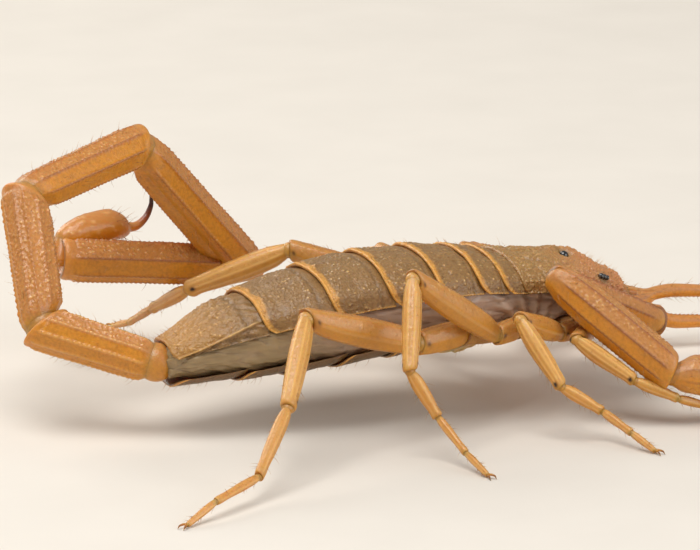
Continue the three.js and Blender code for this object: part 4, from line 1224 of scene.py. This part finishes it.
def make_underside():
    """Breast plates and the fixed first joints of the eight legs and two arms."""
    shape = Shape()
    base = plate(lambda v: 4.95 - 0.5 * v ** 2, lambda v: -0.6 + 0.3 * v ** 2, 270, BELLY_SPAN,
                 lambda u, v: 0.42 + 0.06 * np.sin(math.pi * u) + 0 * v, 0.3, 150, 150)
    x, y = base.points[..., 0], np.abs(base.points[..., 1])
    seams, swelling = np.zeros(x.shape), np.zeros(x.shape)
    for (ax, ay), (bx, by) in BREAST_SEAMS:
        dx, dy = bx - ax, by - ay
        along = np.clip(((x - ax) * dx + (y - ay) * dy) / (dx ** 2 + dy ** 2), 0, 1)
        away = np.hypot(x - ax - along * dx, y - ay - along * dy)
        seams = np.maximum(seams, bell(away, 0.06))
        swelling = np.maximum(swelling, bell(away, 0.28))
    fine = grains(base.points, 0.17, 205, 0.5) * step(0.3, 0.9, y)
    shape.coat(base, (0.015 * fine - 0.09 * swelling - 0.05 * seams) * base.raised, grain=fine, glow=0.4,
               keel=0.8 * seams, tone=0.5 * step(0.75, 0.55, y) * step(1.5, 1.3, x))
    hips = [(LEG_HIPS[n], COXA_ROOTS[n], COXA_HALVES[n]) for n in range(4)] + [(ARM_HIP, ARM_ROOT, ARM_COXA)]
    for number, (hip, root, half) in enumerate(hips):
        for side in (1, -1):
            path = [mirrored(root, side), mirrored(hip, side)]
            base = sweep(path, scaled(COXA_PROFILE, half, half), 60, 56, corners=(45, 95, 140), flatness=0.5)
            dress_keeled(shape, base, (45, 140), 160 + 2 * number + (side > 0), keel=0.03, grain=0.02,
                         width=0.06, bead=0.18, spacing=0.16, clear=(0.1, 0.2, 0.93, 0.99), line=0.5)
            plant(base, 22, 180 + 2 * number + (side > 0), 0.3, low=0.3)
    shape.build("underside", "coxa_shell", "amber", "coxosternum")


COMB_TOOTH_PROFILE = ((-0.03, 0.3), (0.05, 1.0), (0.6, 1.15, 1.3), (0.92, 0.9, 1.1), (1.0, 0.3, 0.4))


def make_comb(side_name):
    side = SIDES[side_name]
    root, tip = mirrored(COMB["root"], side), mirrored(COMB["tip"], side)
    along = unit(tip - root)
    way = unit((-1.0, -side * 0.22, -0.06))
    half, teeth = COMB["half"], COMB["teeth"]
    shape = Shape()
    stem = scaled(((0, 0.8, 0.7), (0.3, 1.2, 0.8), (0.95, 0.7), (1.0, 0.3)), half, half)
    base = sweep([root, tip], [(-0.02, 0.1, 0.08), *stem], 80, 32)
    shape.coat(base, 0.015 * np.cos(2 * math.pi * base.distance / 0.8))
    plant(base, 30, 200 + side, 0.2)
    for number in range(teeth):
        at = root + (tip - root) * (number + 0.7) / teeth
        size = 0.055 + 0.012 * math.sin(math.pi * number / teeth)
        rows = scaled(COMB_TOOTH_PROFILE, size, size)
        shape.coat(sweep([at + way * 0.10, at + way * (0.10 + COMB["tooth"])], rows, 18, 14), glow=0.5)
        shape.ball(at + way * 0.08 - along * 0.04, 0.075, rings=10, sides=12)
    shape.build(f"comb_{side_name}", "comb_shell", "pale_amber", f"pectine_{side_name}")


def make_jaw(side_name):
    """One of the two short three-part jaws under the front of the carapace."""
    side = SIDES[side_name]
    root = mirrored((CHELICERA["x"], CHELICERA["y"], CHELICERA["z"]), side)
    tip = root + np.array((CHELICERA["length"], -side * CHELICERA["y"] * 0.2, -0.25))
    profile = ((-0.1, 0.3), (0, 0.8), (0.2, 1.0), (0.5, 0.97, 0.95), (0.66, 0.7, 0.66), (0.72, 0.3))
    shape = Shape()
    base = sweep([root, tip], scaled(profile, CHELICERA["half"], CHELICERA["half"]), 70, 60)
    net = np.clip(swell(base.points, 0.42, 210 + side), 0, 1)
    shape.coat(base, 0.012 * net, keel=0.4 * net, tone=0.2 * base.place)
    plant(base, 26, 214 + side, 0.3, high=0.7)
    along = unit(tip - root)
    across = np.cross(UP, along)
    for shift, lift, bend in ((0.17, 0.12, -0.10), (-0.15, -0.12, 0.12)):
        start = root + (tip - root) * 0.6 + across * side * shift + UP * lift
        middle = root + (tip - root) * 0.84 + across * side * shift * 1.3 + UP * lift * 1.1
        end = tip + across * side * (shift * 0.5) + UP * (bend * 0.3)
        rows = [(-0.1, 0.1, 0.1), (0.1, 0.19, 0.2), (1, 0.13, 0.14), (2, 0.02, 0.02)]
        claw = sweep([start, middle, end], rows, 36, 24)
        shape.coat(claw, glow=0.3, tone=0.3 - 1.1 * step(0.55, 1.0, claw.place))
        inward = unit(-across * side * np.sign(shift) + along * 0.3)
        for number in range(4):
            at = start + (end - start) * (0.35 + 0.15 * number)
            point = at + inward * (0.20 - 0.03 * number)
            tooth = sweep([at, point], [(0, 0.06, 0.06), (1, 0.012, 0.012)], 8, 10)
            shape.coat(tooth, glow=0.3, tone=-0.7)
    shape.build(f"jaw_{side_name}", "arm_shell", "amber", f"chelicera_{side_name}")


def make_eyes(side_name):
    side = SIDES[side_name]
    shape = Shape()
    shape.ball(mirrored(MEDIAN_EYE, side), MEDIAN_EYE_RADIUS, rings=40, sides=56)
    shape.build(f"main_eye_{side_name}", "eye_gloss", "eye_black", f"median_eye_{side_name}")
    shape = Shape()
    x, y, z = LATERAL_EYE
    for number in (-1, 0, 1):
        reach = number * LATERAL_EYE_SPACING
        centre = (x + reach, side * (y - 0.35 * reach), z - 0.4 * reach)
        shape.ball(centre, LATERAL_EYE_RADIUS * (1.0 - 0.08 * number), rings=28, sides=36)
    shape.build(f"side_eyes_{side_name}", "eye_gloss", "eye_black", f"lateral_eyes_{side_name}")


# ---------------------------------------------------------------- stage

CAMERA = {"azimuth": -22.5, "elevation": 14.5, "distance": 240.0, "target": (-5.99, 4.05, 5.61),
          "lens": 259.2, "sensor": 36.0}


def make_camera():
    a, e = math.radians(CAMERA["azimuth"]), math.radians(CAMERA["elevation"])
    back = Vector((math.sin(a) * math.cos(e), -math.cos(a) * math.cos(e), math.sin(e)))
    target = Vector((np.array(CAMERA["target"]) + SHIFT) * MM)
    data = bpy.data.cameras.new("camera")
    data.lens, data.sensor_width = CAMERA["lens"], CAMERA["sensor"]
    data.clip_start, data.clip_end = 0.01, 10.0
    camera = bpy.data.objects.new("camera", data)
    camera.location = target + back * CAMERA["distance"] * MM
    camera.rotation_mode = "QUATERNION"
    camera.rotation_quaternion = (-back).to_track_quat("-Z", "Y")
    bpy.context.scene.collection.objects.link(camera)
    bpy.context.scene.camera = camera


# Places and sides in metres, shares of the key light's power, colours
SOFTBOXES = {"key_light": ((-0.10, -0.06, 0.30), 0.22, 1.0, (1.0, 0.97, 0.93)),
             "rim_light": ((-0.10, 0.26, 0.16), 0.20, 0.55, (1.0, 0.94, 0.86)),
             "fill_light": ((0.22, -0.26, 0.12), 0.26, 0.60, (0.97, 0.97, 1.0))}
LIT_SPOT = Vector((0, 0, 0.006))


def add_softbox(name, place, size, power, colour):
    """A square area light aimed at the animal."""
    data = bpy.data.lights.new(name, "AREA")
    data.size, data.energy, data.color = size, power, colour
    light = bpy.data.objects.new(name, data)
    light.location = place
    light.rotation_mode = "QUATERNION"
    light.rotation_quaternion = (LIT_SPOT - Vector(place)).to_track_quat("-Z", "Y")
    bpy.context.scene.collection.objects.link(light)


def make_stage():
    setup = bpy.context.scene.scorpion_stage
    mesh = bpy.data.meshes.new("floor")
    size = setup.floor_size
    corners = [(-size, -size, 0), (size, -size, 0), (size, size, 0), (-size, size, 0)]
    mesh.from_pydata(corners, [], [(0, 1, 2, 3)])
    mesh.materials.append(finish_named("pale_floor"))
    floor = bpy.data.objects.new("floor", mesh)
    bpy.context.scene.collection.objects.link(floor)
    for name, (place, side, share, colour) in SOFTBOXES.items():
        add_softbox(name, place, side, setup.light_power * share, colour)
    world = bpy.data.worlds.new("studio")
    world.use_nodes = True
    sky = world.node_tree.nodes["Background"].inputs
    sky["Color"].default_value = (0.86, 0.84, 0.80, 1)
    sky["Strength"].default_value = setup.sky_strength
    bpy.context.scene.world = world
    bpy.context.scene.view_settings.view_transform = "Standard"
    make_camera()


# ---------------------------------------------------------------- settings, operators and panel

def colour_setting(name, description, code):
    return bpy.props.FloatVectorProperty(name=name, description=description, subtype="COLOR", size=3,
                                         min=0, max=1, default=srgb(code))


def length_setting(name, description, default_mm):
    return bpy.props.FloatProperty(name=name, description=description, subtype="DISTANCE", unit="LENGTH",
                                   default=default_mm * MM, min=0, soft_max=4 * default_mm * MM, precision=6)


class SCORPION_PG_look(bpy.types.PropertyGroup):
    """Colours of the shell and skin, with painted light: the upper colours where light falls, the glow
    colours where it comes through.
    """

    tail_lit: colour_setting("Tail, upper", "Tail cuticle where light falls on it", "c58645")
    tail_glow: colour_setting("Tail, glow", "Tail cuticle where light comes through it", "d28b22")
    leg_lit: colour_setting("Legs, upper", "Leg cuticle where light falls on it", "c48c48")
    leg_glow: colour_setting("Legs, glow", "Leg cuticle where light comes through it", "c88826")
    arm_lit: colour_setting("Arms, upper", "Pincer arm cuticle where light falls on it", "c08548")
    arm_glow: colour_setting("Arms, glow", "Pincer arm cuticle where light comes through it", "d48c20")
    back_lit: colour_setting("Back", "Olive brown of the back plates", "967244")
    head_front: colour_setting("Head, front", "Orange front part of the carapace", "ba7f50")
    keel_line: colour_setting("Keel lines", "Purple brown of the beaded keels", "7a452e")
    speck: colour_setting("Grain tips", "Golden tips of the cuticle's grains", "ecc183")
    margin_gold: colour_setting("Plate margins", "Golden hind margins of the plates", "d99a44")
    membrane: colour_setting("Membrane", "Soft skin between the plates", "c0a48e")


class SCORPION_PG_relief(bpy.types.PropertyGroup):
    """Sizes of the raised detail."""

    keel_height: length_setting("Keel height", "Height of the beaded keels of the tail", 0.07)
    grain_height: length_setting("Grain height", "Height of the small round grains", 0.035)
    wrinkle_depth: length_setting("Wrinkle depth", "Depth of the folds in the soft skin", 0.09)
    bristle_girth: length_setting("Bristle radius", "Radius of a bristle at its root", 0.012)


class SCORPION_PG_stage(bpy.types.PropertyGroup):
    """Floor and light."""

    floor_size: bpy.props.FloatProperty(
        name="Floor", description="Half the side of the floor", subtype="DISTANCE", unit="LENGTH",
        default=6.0, min=0.5)
    light_power: bpy.props.FloatProperty(
        name="Light", description="Power of the key light", subtype="POWER", unit="POWER",
        default=0.85, min=0)
    sky_strength: bpy.props.FloatProperty(
        name="Sky", description="Strength of the pale surroundings", default=0.36, min=0)


class SCORPION_OT_skin(bpy.types.Operator):
    """Build the soft skin that shows between the plates"""

    bl_idname = "scorpion.skin"
    bl_label = "Skin"

    def execute(self, context):
        make_skin()
        return {"FINISHED"}


class SCORPION_OT_carapace(bpy.types.Operator):
    """Build the head shield with its furrows, grains and eye hill"""

    bl_idname = "scorpion.carapace"
    bl_label = "Carapace"

    def execute(self, context):
        make_carapace()
        return {"FINISHED"}


class SCORPION_OT_back_plates(bpy.types.Operator):
    """Build the seven plates of the back"""

    bl_idname = "scorpion.back_plates"
    bl_label = "Back plates"

    def execute(self, context):
        for number in range(1, len(BACK_MARGINS)):
            make_back_plate(number)
        return {"FINISHED"}


class SCORPION_OT_belly(bpy.types.Operator):
    """Build the belly plates, the breast and the fixed roots of the limbs"""

    bl_idname = "scorpion.belly"
    bl_label = "Belly"

    def execute(self, context):
        make_belly_plates()
        make_underside()
        return {"FINISHED"}


class SCORPION_OT_combs(bpy.types.Operator):
    """Build the two comb organs"""

    bl_idname = "scorpion.combs"
    bl_label = "Combs"

    def execute(self, context):
        for side in SIDES:
            make_comb(side)
        return {"FINISHED"}


class SCORPION_OT_face(bpy.types.Operator):
    """Build the eyes and jaws"""

    bl_idname = "scorpion.face"
    bl_label = "Eyes and jaws"

    def execute(self, context):
        for side in SIDES:
            make_eyes(side)
            make_jaw(side)
        return {"FINISHED"}


class SCORPION_OT_legs(bpy.types.Operator):
    """Build the eight legs with their claws"""

    bl_idname = "scorpion.legs"
    bl_label = "Legs"

    def execute(self, context):
        for side in SIDES:
            for number in range(len(LEG_HIPS)):
                make_leg(side, number)
        return {"FINISHED"}


class SCORPION_OT_arms(bpy.types.Operator):
    """Build the two arms with their pincers"""

    bl_idname = "scorpion.arms"
    bl_label = "Pincer arms"

    def execute(self, context):
        for side in SIDES:
            make_arm(side)
        return {"FINISHED"}


class SCORPION_OT_tail(bpy.types.Operator):
    """Build the five rings of the tail and the sting"""

    bl_idname = "scorpion.tail"
    bl_label = "Tail and sting"

    def execute(self, context):
        make_tail_rings()
        make_sting()
        return {"FINISHED"}


class SCORPION_OT_bristles(bpy.types.Operator):
    """Build the bristles that the other pieces have left roots for"""

    bl_idname = "scorpion.bristles"
    bl_label = "Bristles"

    def execute(self, context):
        place_piece(bristle_mesh(), "bristles", "bristle_shaft", "amber")
        return {"FINISHED"}


class SCORPION_OT_stage(bpy.types.Operator):
    """Set up the floor, the lights and the camera"""

    bl_idname = "scorpion.stage"
    bl_label = "Stage"

    def execute(self, context):
        make_stage()
        return {"FINISHED"}


OPERATORS = (
    SCORPION_OT_skin, SCORPION_OT_carapace, SCORPION_OT_back_plates, SCORPION_OT_belly, SCORPION_OT_combs,
    SCORPION_OT_face, SCORPION_OT_legs, SCORPION_OT_arms, SCORPION_OT_tail, SCORPION_OT_bristles,
    SCORPION_OT_stage)
SETTINGS = {"scorpion_look": SCORPION_PG_look, "scorpion_relief": SCORPION_PG_relief,
            "scorpion_stage": SCORPION_PG_stage}


class SCORPION_PT_build(bpy.types.Panel):
    """Lists the settings and the pieces in building order."""

    bl_idname = "SCORPION_PT_build"
    bl_label = "Bark scorpion"
    bl_space_type = "VIEW_3D"
    bl_region_type = "UI"
    bl_category = "Scorpion"

    def draw(self, context):
        for name, group in SETTINGS.items():
            box = self.layout.box()
            box.label(text=group.__doc__)
            for setting in group.__annotations__:
                box.prop(getattr(context.scene, name), setting)
        for operator in OPERATORS:
            self.layout.operator(operator.bl_idname)


def register():
    for kind in (*SETTINGS.values(), *OPERATORS, SCORPION_PT_build):
        bpy.utils.register_class(kind)
    for name, group in SETTINGS.items():
        setattr(bpy.types.Scene, name, bpy.props.PointerProperty(type=group))


def unregister():
    for name in SETTINGS:
        delattr(bpy.types.Scene, name)
    for kind in (SCORPION_PT_build, *reversed(OPERATORS), *SETTINGS.values()):
        bpy.utils.unregister_class(kind)


def main():
    register()
    for operator in OPERATORS:
        group, name = operator.bl_idname.split(".")
        getattr(getattr(bpy.ops, group), name)()


if __name__ == "__main__":
    main()
